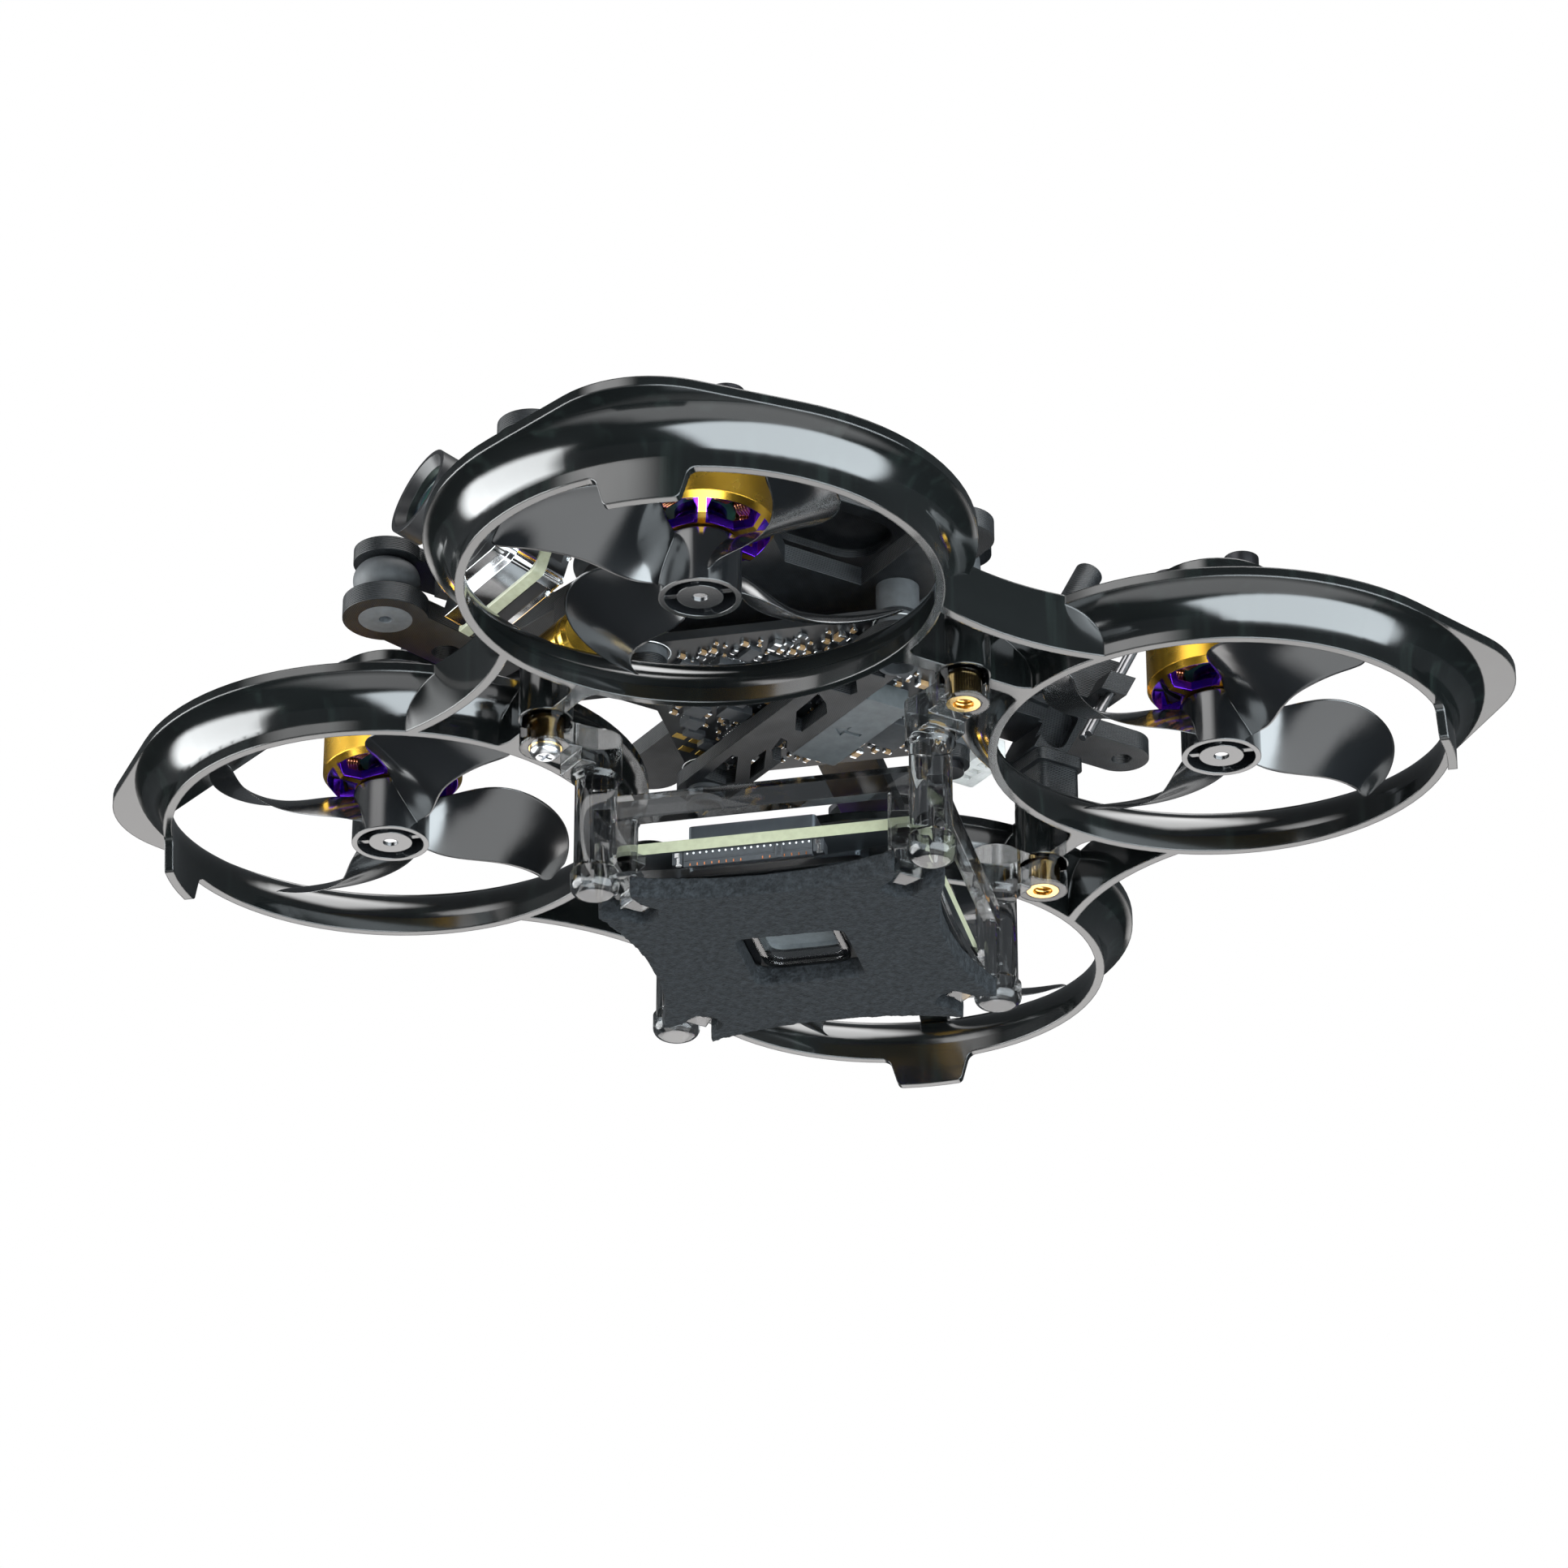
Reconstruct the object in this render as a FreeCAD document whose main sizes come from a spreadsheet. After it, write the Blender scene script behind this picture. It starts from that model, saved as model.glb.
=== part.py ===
"""A ducted racing quadcopter with an 85 mm wheelbase, in millimetres.

The origin is the middle of the flat face that the drone lands on. +Z is up, -Y is the front and
+X is the port (left) side. Heights inside a sub-part are measured from the ducts' lower rim, and
the sub-part's Placement lifts it to its place above the landing face.
"""

import FreeCAD
import Part

import math
import os

import Sketcher

DOC = FreeCAD.newDocument("Drone")
SHEET = DOC.addObject("Spreadsheet::Sheet", "Sizes")
V = FreeCAD.Vector

DIMENSIONS = [
    # overall layout
    ("motor_offset", 30.05, "X and Y of each motor axis, so the wheelbase is 85 mm"),
    ("rim_height", 18.2, "ducts' lower rim above the landing face"),
    # ducts
    ("bore_radius", 22.06, "duct bore"),
    ("duct_radius", 22.98, "outside of the duct wall at its lower rim"),
    ("flange_radius", 26.1, "outside of the duct's upper flange"),
    ("flange_floor", 5.0, "height of the flange's lower face"),
    ("duct_height", 6.0, "height of the duct"),
    ("wall_straight", 1.2, "height of the straight part of the outer wall"),
    ("bore_straight", 1.5, "height of the straight part of the bore"),
    ("mouth_radius", 25.35, "bell mouth at the duct's top"),
    ("outer_flare", 3.87, "radius of the outer wall's flare"),
    ("inner_flare", 4.2, "radius of the bell mouth's flare"),
    ("corner_spread", 34.2, "angle from the corner's diagonal to the plate's tangent points"),
    ("corner_round", 11.0, "rounding of the corner plate"),
    ("tab_drop", 3.1, "how far the foot tab hangs below the rim"),
    ("tab_foot", 3.5, "half width of the tab at its foot"),
    ("tab_root", 4.4, "half width of the tab at the rim"),
    # webs between the ducts
    ("ear_offset", 29.3, "distance of the four bosses from the centre"),
    ("boss_radius", 2.7, "boss in the cross web"),
    ("bar_half", 0.8, "half thickness of the cross bar"),
    ("bar_reach", 8.1, "half length of the cross bar"),
    ("web_reach", 9.6, "half length of the outer web"),
    ("web_outer", 39.9, "outer web's outside edge at its ends"),
    ("web_wall", 1.0, "thickness of the outer web"),
    ("web_bend", 29.6, "bend radius of the outer web"),
    # deck
    ("deck_floor", 15.0, "deck's lower face above the rim"),
    ("deck_thick", 2.0, "thickness of the deck"),
    ("deck_half", 16.6, "half width of the deck's middle"),
    ("deck_arm", 3.3, "half width of the arms along X and Y"),
    ("deck_diagonal", 3.1, "half width of the arms to the motors"),
    ("motor_seat", 6.3, "radius of the motor seat"),
    ("camera_ear_x", 14.5, "X of the front ears"),
    ("camera_ear_y", -39.7, "Y of the front ears"),
    ("camera_ear_radius", 4.3, "rounding of the front ears"),
    ("rear_ear_y", 39.7, "Y of the rear ear's hole"),
    ("rear_ear_radius", 2.9, "rounding of the rear ear"),
    ("rear_hole", 1.05, "radius of the rear ear's hole"),
    ("third_ear_y", -22.7, "Y of the rear camera damper"),
    ("strut_half", 1.5, "half width of the struts"),
    ("ring_thick", 1.2, "thickness of the struts' rings"),
    # motors
    ("bell_radius", 7.1, "outside of the bell"),
    ("bell_floor", 5.2, "bell's lower face"),
    ("bell_corner", 6.9, "height where the bell's chamfer ends"),
    ("bell_face", 5.8, "radius of the bell's lower face"),
    ("bell_top", 12.9, "bell's upper edge"),
    ("magnet_outer", 6.7, "outside of the magnet ring"),
    ("magnet_inner", 5.8, "inside of the magnets"),
    ("stator_radius", 5.5, "outside of the stator"),
    ("base_radius", 6.9, "motor base"),
    ("base_floor", 13.4, "lower face of the motor base"),
    ("tube_radius", 2.5, "bearing tube outside, stator bore"),
    ("bearing_radius", 2.0, "outside of a bearing"),
    ("bearing_height", 2.0, "width of a bearing"),
    ("tube_floor", 7.4, "lower end of the bearing tube"),
    ("shaft_radius", 0.75, "motor shaft, 1.5 mm"),
    ("bearing_bore", 0.775, "bore of a bearing, with running clearance"),
    ("shaft_low", -0.45, "lower end of the shaft"),
    ("shaft_high", 14.7, "upper end of the shaft"),
    ("screw_circle", 4.5, "radius of the motor screws' circle"),
    # propellers
    ("hub_radius", 3.92, "outside of the hub"),
    ("hub_low", -0.8, "lower edge of the hub"),
    ("hub_high", 5.1, "upper face of the hub"),
    ("hub_inner", 3.35, "inside of the hub's skirt"),
    ("hub_boss", 2.2, "boss round the shaft"),
    ("blade_tip", 20.6, "radius of the blade tips"),
    # cage
    ("post_offset", 23.5, "distance of the posts from the centre"),
    ("post_radius", 2.1, "cage posts"),
    ("foot_radius", 2.4, "bulged feet of the posts"),
    ("shoulder_radius", 2.5, "shoulders at the top of the posts"),
    ("shoulder_low", -4.9, "lower end of the shoulders"),
    ("post_low", -17.5, "lower end of the posts"),
    ("ear_radius", 2.55, "ear boss"),
    ("ear_floor", -3.1, "lower face of the ears"),
    ("gusset_low", -4.4, "lower face of the gusset between post and ear"),
    ("ear_web_top", -0.5, "upper face of the ear's bridge"),
    ("floor_low", -16.0, "lower face of the cage floor"),
    ("floor_thick", 1.0, "thickness of the cage floor"),
    ("rail_low", -9.9, "lower edge of the rails"),
    ("rail_tall", 2.6, "height of the rails"),
    ("rail_thick", 1.4, "thickness of the rails"),
    ("insert_radius", 1.65, "outside of the brass inserts"),
    ("insert_hole", 1.0, "hole of the brass inserts"),
    ("insert_top", 0.8, "upper end of the inserts"),
    # landing pad
    ("pad_thick", 2.2, "thickness of the foam pad"),
    ("pad_side", 17.3, "distance of the pad's side ends from the centre"),
    ("pad_along", 13.2, "half length of the pad's sides"),
    ("pad_bend", 36.8, "bend radius of the pad's hollow sides"),
    ("button_thick", 0.95, "thickness of the bind button"),
    ("bezel_tall", 0.6, "height of the ring round the button's well"),
    ("window_long", 11.0, "pad window"),
    ("window_wide", 10.4, "pad window"),
    # air unit
    ("air_board_low", -12.8, "lower face of the air unit's board"),
    ("air_board_thick", 1.2, "thickness of the air unit's board"),
    ("air_board_half", 15.0, "half width of the air unit's board"),
    # flight controller
    ("stack_offset", 18.03, "controller holes from the centre: a 25.5 mm square turned by 45 degrees"),
    ("board_low", 10.8, "lower face of the controller"),
    ("board_thick", 1.0, "thickness of the controller"),
    ("board_half", 14.6, "half width of the controller's board"),
    ("grommet_radius", 2.15, "rubber grommets"),
    ("grommet_neck", 1.55, "grommets' neck and the controller's holes"),
    ("bracket_low", 8.2, "lower face of the printed bracket"),
    ("bracket_thick", 1.6, "thickness of the printed bracket"),
    ("bracket_half", 3.05, "half width of the printed bracket"),
    # camera
    ("lens_y", -44.27, "Y of the lens rim's centre"),
    ("lens_z", 21.25, "height of the lens rim's centre"),
    ("camera_tilt", 15.3, "tilt of the camera, nose up"),
    ("barrel_radius", 4.65, "lens barrel"),
    ("pivot_back", 10.9, "distance from the lens rim back to the housing's middle"),
    ("screw_ahead", 0.7, "distance of the tilt screws in front of the housing's middle"),
    ("camera_half", 7.5, "half width of the camera housing"),
    ("camera_tall", 6.7, "half height of the camera housing"),
    ("ball_bend", 2.0, "bulge radius of the damper balls"),
    ("plate_floor", 21.2, "lower face of the camera plate"),
    ("plate_thick", 1.5, "thickness of the camera plate"),
    ("rear_ball_x", 17.9, "X of the plate's rear ears"),
    ("rear_ball_y", 7.8, "Y of the plate's rear ears"),
    # antennas
    ("antenna_lean", 28.0, "backward lean of the antenna sleeve and rods"),
    ("sleeve_radius", 1.5, "outside of the antenna sleeve"),
    ("rod_radius", 0.42, "radius of the two thin rods"),
    ("wedge_half", 3.5, "half width of the wedge's stem"),
    ("wedge_low", 11.2, "lower face of the wedge"),
    ("wedge_top", 23.0, "upper face of the wedge"),
]


class Size:
    """A number together with the spreadsheet expression that gives it."""

    def __init__(self, value, text):
        self.value = value
        self.text = text

    def __add__(self, other):
        other = as_size(other)
        return Size(self.value + other.value, "(%s + %s)" % (self.text, other.text))

    def __radd__(self, other):
        return as_size(other) + self

    def __sub__(self, other):
        other = as_size(other)
        return Size(self.value - other.value, "(%s - %s)" % (self.text, other.text))

    def __rsub__(self, other):
        return as_size(other) - self

    def __mul__(self, other):
        other = as_size(other)
        return Size(self.value * other.value, "(%s * %s)" % (self.text, other.text))

    def __rmul__(self, other):
        return as_size(other) * self

    def __neg__(self):
        return Size(-self.value, "(-1 * %s)" % self.text)


def as_size(number):
    """The number as a Size; a plain number is its own expression."""
    return number if isinstance(number, Size) else Size(float(number), "(%.6f)" % number)


def fill_sheet():
    """Writes every driving dimension to the sheet and returns the sizes by name."""
    sizes = {}
    for row, (alias, number, note) in enumerate(DIMENSIONS, start=1):
        SHEET.set("A%d" % row, alias)
        SHEET.set("B%d" % row, str(number))
        SHEET.set("C%d" % row, note)
        SHEET.setAlias("B%d" % row, alias)
        sizes[alias] = Size(number, "Sizes." + alias)
    DOC.recompute()
    return sizes


D = fill_sheet()
MOTORS = {
    "front_left": (1, -1, -1),
    "front_right": (-1, -1, 1),
    "rear_left": (1, 1, 1),
    "rear_right": (-1, 1, -1),
}
AXIS_TURNS = (0, 90, 180, 270)
# Half length, half width and corner radius of the well through the cage floor to the button.
WELL = (3.73, 4.2, 1.4)
SLEEVE_START = (3.0, 25.4, 17.8)
ROD_STARTS = ((6.0, 30.5, 12.2), (7.1, 30.5, 12.2))
SUB_PARTS = []


def bind(thing, name, number):
    """Binds a property of the object to a size."""
    thing.setExpression(name, as_size(number).text)


def place(thing, x=0, y=0, z=0, turn=0.0, axis=(0, 0, 1)):
    """Puts the object at x, y, z, turned about an axis through its own origin."""
    x, y, z = as_size(x), as_size(y), as_size(z)
    turning = FreeCAD.Rotation(V(*axis), turn)
    thing.Placement = FreeCAD.Placement(V(x.value, y.value, z.value), turning)
    bind(thing, "Placement.Base.x", x)
    bind(thing, "Placement.Base.y", y)
    bind(thing, "Placement.Base.z", z)
    return thing


def keep(thing, label, x=0, y=0, z=0):
    """Names a finished sub-part, puts it in the drone and lists it for export."""
    thing.Label = label
    place(thing, x, y, D["rim_height"] + z)
    SUB_PARTS.append(thing)
    return thing


# ---- Part primitives and booleans ----------------------------------------------------------


def cylinder(name, radius, height, x=0, y=0, z=0, turn=0.0, axis=(0, 0, 1)):
    """A Part cylinder bound to its sizes."""
    thing = DOC.addObject("Part::Cylinder", name)
    bind(thing, "Radius", radius)
    bind(thing, "Height", height)
    return place(thing, x, y, z, turn, axis)


def block(name, length, width, height, x=0, y=0, z=0):
    """A Part box centred on x, y, with its floor at z."""
    thing = DOC.addObject("Part::Box", name)
    bind(thing, "Length", length)
    bind(thing, "Width", width)
    bind(thing, "Height", height)
    return place(thing, as_size(x) - 0.5 * as_size(length), as_size(y) - 0.5 * as_size(width), z)


def fuse(name, things):
    """The union of several objects."""
    thing = DOC.addObject("Part::MultiFuse", name)
    thing.Shapes = things
    return thing


def cut(name, base, tool):
    """The base with the tool taken away."""
    thing = DOC.addObject("Part::Cut", name)
    thing.Base = base
    thing.Tool = tool
    return thing


def common(name, first, second):
    """What two objects share."""
    thing = DOC.addObject("Part::MultiCommon", name)
    thing.Shapes = [first, second]
    return thing


def group(name, things):
    """Several separate solids kept in one node."""
    thing = DOC.addObject("Part::Compound", name)
    thing.Links = things
    return thing


# ---- PartDesign bodies and sketches -----------------------------------------------------------


def new_body(name):
    """A body that may hold several solids."""
    body = DOC.addObject("PartDesign::Body", name)
    body.AllowCompound = True
    return body


def new_sketch(body, name, plane, offset=0, turn=0.0):
    """A sketch on one of the body's own origin planes, moved along the plane's normal."""
    sketch = body.newObject("Sketcher::SketchObject", name)
    chosen = [f for f in body.Origin.OriginFeatures if f.Role == plane][0]
    sketch.AttachmentSupport = [(chosen, "")]
    sketch.MapMode = "FlatFace"
    offset = as_size(offset)
    turning = FreeCAD.Rotation(V(0, 0, 1), turn)
    sketch.AttachmentOffset = FreeCAD.Placement(V(0, 0, offset.value), turning)
    bind(sketch, "AttachmentOffset.Base.z", offset)
    return sketch


def fix_point(sketch, geometry, end, x, y):
    """Holds one point of the sketch at x, y from the sketch's origin."""
    for kind, number, on_axis in (("DistanceX", x, -2), ("DistanceY", y, -1)):
        if abs(number.value) < 1e-9:
            sketch.addConstraint(Sketcher.Constraint("PointOnObject", geometry, end, on_axis))
        else:
            wanted = Sketcher.Constraint(kind, -1, 1, geometry, end, number.value)
            index = sketch.addConstraint(wanted)
            sketch.setExpression("Constraints[%d]" % index, number.text)


def add_arc(sketch, start, end, bend):
    """An arc from start to end; a positive bend turns left. Returns it and its two end numbers."""
    chord = end - start
    side = V(-chord.y, chord.x, 0)
    side.normalize()
    radius = abs(bend.value)
    rise = math.sqrt(max(radius * radius - chord.Length * chord.Length / 4, 0))
    middle = (start + end) * 0.5 + side * (rise if bend.value > 0 else -rise)
    first, last = (start, end) if bend.value > 0 else (end, start)
    begin = math.atan2(first.y - middle.y, first.x - middle.x)
    finish = math.atan2(last.y - middle.y, last.x - middle.x)
    circle = Part.Circle(middle, V(0, 0, 1), radius)
    index = sketch.addGeometry(Part.ArcOfCircle(circle, begin, finish))
    wanted = sketch.addConstraint(Sketcher.Constraint("Radius", index, radius))
    sketch.setExpression("Constraints[%d]" % wanted, (bend if bend.value > 0 else -bend).text)
    return (index, 1, 2) if bend.value > 0 else (index, 2, 1)


def add_outline(sketch, points):
    """A closed outline. A point is (x, y) or (x, y, bend), the bend of the edge that leaves it."""
    corners = [(as_size(p[0]), as_size(p[1])) for p in points]
    bends = [as_size(p[2]) if len(p) > 2 else None for p in points]
    edges = []
    for number, bend in enumerate(bends):
        start = V(corners[number][0].value, corners[number][1].value, 0)
        following = corners[(number + 1) % len(corners)]
        end = V(following[0].value, following[1].value, 0)
        if bend is None:
            edges.append((sketch.addGeometry(Part.LineSegment(start, end)), 1, 2))
        else:
            edges.append(add_arc(sketch, start, end, bend))
    for number, edge in enumerate(edges):
        before = edges[number - 1]
        sketch.addConstraint(
            Sketcher.Constraint("Coincident", before[0], before[2], edge[0], edge[1])
        )
        fix_point(sketch, edge[0], edge[1], *corners[number])


def add_circle(sketch, x, y, radius):
    """A circle held by its centre and radius."""
    x, y, radius = as_size(x), as_size(y), as_size(radius)
    shape = Part.Circle(V(x.value, y.value, 0), V(0, 0, 1), radius.value)
    index = sketch.addGeometry(shape)
    if abs(x.value) < 1e-9 and abs(y.value) < 1e-9:
        sketch.addConstraint(Sketcher.Constraint("Coincident", index, 3, -1, 1))
    else:
        fix_point(sketch, index, 3, x, y)
    wanted = sketch.addConstraint(Sketcher.Constraint("Radius", index, radius.value))
    sketch.setExpression("Constraints[%d]" % wanted, radius.text)


def extrude(body, kind, name, height, z, outlines=(), circles=(), turn=0.0):
    """A Pad upward from z, or a Pocket downward from z, of the outlines and circles."""
    sketch = new_sketch(body, name + "_sketch", "XY_Plane", z, turn)
    for points in outlines:
        add_outline(sketch, points)
    for x, y, radius in circles:
        add_circle(sketch, x, y, radius)
    feature = body.newObject("PartDesign::" + kind, name)
    feature.Profile = sketch
    bind(feature, "Length", height)
    sketch.Visibility = False
    return feature


def pad(body, name, height, z, outlines=(), circles=(), turn=0.0):
    """Adds material upward from z."""
    return extrude(body, "Pad", name, height, z, outlines, circles, turn)


def pocket(body, name, depth, z, outlines=(), circles=(), turn=0.0):
    """Takes material away downward from z."""
    return extrude(body, "Pocket", name, depth, z, outlines, circles, turn)


def revolve(body, name, points, kind="Revolution"):
    """A full turn about Z of an outline of (radius, height) points."""
    sketch = new_sketch(body, name + "_sketch", "XZ_Plane")
    add_outline(sketch, points)
    feature = body.newObject("PartDesign::" + kind, name)
    feature.Profile = sketch
    feature.ReferenceAxis = (sketch, ["V_Axis"])
    feature.Angle = 360.0
    return feature


def polar(body, name, features, count):
    """Repeats features round the body's Z axis."""
    pattern = body.newObject("PartDesign::PolarPattern", name)
    pattern.Originals = features
    axis = [f for f in body.Origin.OriginFeatures if f.Role == "Z_Axis"][0]
    pattern.Axis = (axis, [""])
    pattern.Angle = 360.0
    pattern.Occurrences = count
    body.Tip = pattern
    return pattern


def rounded(half_x, half_y, radius, x=0, y=0):
    """A rectangle with rounded corners, centred on x, y."""
    half_x, half_y, radius = as_size(half_x), as_size(half_y), as_size(radius)
    x, y = as_size(x), as_size(y)
    inner_x, inner_y = half_x - radius, half_y - radius
    return [
        (x - inner_x, y - half_y),
        (x + inner_x, y - half_y, radius),
        (x + half_x, y - inner_y),
        (x + half_x, y + inner_y, radius),
        (x + inner_x, y + half_y),
        (x - inner_x, y + half_y, radius),
        (x - half_x, y + inner_y),
        (x - half_x, y - inner_y, radius),
    ]


def rectangle(low_x, low_y, high_x, high_y):
    """A rectangle between two corners."""
    return [(low_x, low_y), (high_x, low_y), (high_x, high_y), (low_x, high_y)]


# ---- Duct frame ----------------------------------------------------------------------------


def duct_blank(label, x, y):
    """One duct before its bore is cut: a disc with a flared outside."""
    body = new_body("blank_" + label)
    revolve(
        body,
        "flare_" + label,
        [
            (0, 0),
            (D["duct_radius"], 0),
            (D["duct_radius"], D["wall_straight"], -D["outer_flare"]),
            (D["flange_radius"], D["flange_floor"]),
            (D["flange_radius"], D["duct_height"]),
            (0, D["duct_height"]),
        ],
    )
    return place(body, x, y)


def duct_bore(label, x, y):
    """The air passage of one duct, with its bell mouth at the top."""
    body = new_body("bore_" + label)
    past = 0.5
    revolve(
        body,
        "mouth_" + label,
        [
            (0, -past),
            (D["bore_radius"], -past),
            (D["bore_radius"], D["bore_straight"], -D["inner_flare"]),
            (D["mouth_radius"], D["duct_height"] - 0.4),
            (D["mouth_radius"] + 0.3, D["duct_height"] + past),
            (0, D["duct_height"] + past),
        ],
    )
    return place(body, x, y)


def corner_plate(label, x, y, diagonal):
    """The flat pointed plate at a duct's outward corner."""
    spread = math.radians(D["corner_spread"].value)
    reach = D["flange_radius"]
    middle = (reach.value - D["corner_round"].value) / math.cos(spread)
    tangent = (reach * math.cos(spread), reach * math.sin(spread))
    turn_x = D["corner_round"] * math.cos(spread) + middle
    turn_y = D["corner_round"] * math.sin(spread)
    body = new_body("plate_" + label)
    outline = [
        (0, 0),
        (tangent[0], -tangent[1]),
        (turn_x, -turn_y, D["corner_round"]),
        (turn_x, turn_y),
        tangent,
    ]
    thickness = D["duct_height"] - D["flange_floor"]
    pad(body, "corner_" + label, thickness, D["flange_floor"], [outline], turn=diagonal)
    return place(body, x, y)


def foot_tab(label, x, y, diagonal):
    """The tab that hangs from a duct's lower rim at its outward corner."""
    body = new_body("tab_" + label)
    sketch = new_sketch(body, "tab_sketch_" + label, "YZ_Plane", 20.0)
    lean = math.atan2((D["tab_root"] - D["tab_foot"]).value, D["tab_drop"].value)
    toe, fillet, root_height = 0.6, 1.0, 0.5
    toe_reach = toe * math.tan(math.pi / 4 - lean / 2)
    fillet_reach = fillet * math.tan(math.pi / 4 - lean / 2)
    half = [
        (D["tab_foot"] - toe_reach, -D["tab_drop"], toe),
        (
            D["tab_foot"] + toe_reach * math.sin(lean),
            -D["tab_drop"] + toe_reach * math.cos(lean),
        ),
        (
            D["tab_root"] - fillet_reach * math.sin(lean),
            as_size(-fillet_reach * math.cos(lean)),
            -fillet,
        ),
        (D["tab_root"] + fillet_reach, 0),
        (D["tab_root"] + fillet_reach, root_height),
    ]
    mirrored = [(-half[4][0], half[4][1]), (-half[3][0], half[3][1], -fillet)]
    mirrored += [(-half[2][0], half[2][1]), (-half[1][0], half[1][1], toe)]
    mirrored += [(-half[0][0], half[0][1])]
    add_outline(sketch, half + mirrored)
    feature = body.newObject("PartDesign::Pad", "tab_pad_" + label)
    feature.Profile = sketch
    feature.Length = 5.0
    place(body, x, y, 0, diagonal)
    tube = cylinder("tab_tube_" + label, D["duct_radius"], 6.0, x, y, -4.0)
    return common("tab_common_" + label, body, tube)


def cross_web(turn):
    """Outer web, cross bar and boss between two neighbouring ducts, at the +Y side before turning."""
    body = new_body("web_%d" % turn)
    y = D["ear_offset"]
    half, reach = D["bar_half"], D["bar_reach"]
    neck, spread, fillet = reach - 2.7, half + 1.9, 3.2
    bar = [
        (-neck, y - half),
        (neck, y - half, -fillet),
        (reach, y - spread),
        (reach, y + spread, -fillet),
        (neck, y + half),
        (-neck, y + half, -fillet),
        (-reach, y + spread),
        (-reach, y - spread, -fillet),
    ]
    pad(body, "bar_%d" % turn, D["duct_height"], 0, [bar])
    pad(body, "boss_%d" % turn, D["duct_height"], 0, circles=[(0, y, D["boss_radius"])])
    inner = D["web_outer"] - D["web_wall"]
    wall = [
        (-D["web_reach"], inner, D["web_bend"] + D["web_wall"]),
        (D["web_reach"], inner),
        (D["web_reach"], D["web_outer"], -D["web_bend"]),
        (-D["web_reach"], D["web_outer"]),
    ]
    pad(body, "wall_%d" % turn, D["duct_height"], 0, [wall])
    return place(body, 0, 0, 0, turn)


def boss_hole(turn):
    """The stepped hole in a boss: a seat for the brass insert and the screw's way above it."""
    body = new_body("hole_%d" % turn)
    y = D["ear_offset"]
    seat = D["insert_top"] + 0.5
    pad(body, "seat_%d" % turn, seat, -0.5, circles=[(0, y, D["insert_radius"])])
    pad(body, "way_%d" % turn, D["duct_height"], 0.5, circles=[(0, y, D["insert_hole"] + 0.3)])
    return place(body, 0, 0, 0, turn)


def strut(label, x, y, diagonal):
    """The strut from a duct's corner plate up to the ring under the motor screws' heads."""
    body = new_body("strut_body_" + label)
    half = D["strut_half"]
    low, high = D["duct_height"] - 0.4, D["deck_floor"] + D["deck_thick"]
    sketch = new_sketch(body, "strut_sketch_" + label, "XZ_Plane", -half)
    add_outline(
        sketch,
        [
            (24.9, low),
            (27.6, low),
            (27.6, D["duct_height"]),
            (6.9, high + D["ring_thick"]),
            (4.6, high + D["ring_thick"]),
            (4.6, high),
            (6.9, high),
        ],
    )
    feature = body.newObject("PartDesign::Pad", "strut_pad_" + label)
    feature.Profile = sketch
    bind(feature, "Length", 2 * half)
    pad(body, "strut_ring_" + label, D["ring_thick"], high, circles=[(0, 0, D["motor_seat"])])
    holes = [(0, 0, 1.4)]
    for turn in (0, 120, 240):
        way = math.radians(turn - diagonal)
        circle = D["screw_circle"]
        holes.append((circle * math.cos(way), circle * math.sin(way), 1.05))
    pocket(body, "strut_holes_" + label, 2.0, high + D["ring_thick"] + 0.5, circles=holes)
    return place(body, x, y, 0, diagonal)


def duct_frame():
    """The moulded frame: four ducts joined by webs, each with a strut up to its motor."""
    solids = [cross_web(turn) for turn in AXIS_TURNS]
    tools = [boss_hole(turn) for turn in AXIS_TURNS]
    tabs, struts = [], []
    for label, (side_x, side_y, _hand) in MOTORS.items():
        x, y = side_x * D["motor_offset"], side_y * D["motor_offset"]
        diagonal = math.degrees(math.atan2(side_y, side_x))
        solids.append(duct_blank(label, x, y))
        solids.append(corner_plate(label, x, y, diagonal))
        tabs.append(foot_tab(label, x, y, diagonal))
        tools.append(duct_bore(label, x, y))
        struts.append(strut(label, x, y, diagonal))
    tab_bores = []
    for label, (side_x, side_y, _hand) in MOTORS.items():
        x, y = side_x * D["motor_offset"], side_y * D["motor_offset"]
        tab_bores.append(cylinder("tab_bore_" + label, D["bore_radius"], 6.0, x, y, -5.0))
    hung = fuse("frame_solid", solids + tabs)
    frame = cut("frame_cut", hung, fuse("frame_tools", tools + tab_bores))
    keep(fuse("frame_whole", [frame] + struts), "duct_frame")


# ---- Motors and propellers ---------------------------------------------------------------


def motor_place(label):
    """X and Y of a motor's axis."""
    side_x, side_y, _hand = MOTORS[label]
    return side_x * D["motor_offset"], side_y * D["motor_offset"]


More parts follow.
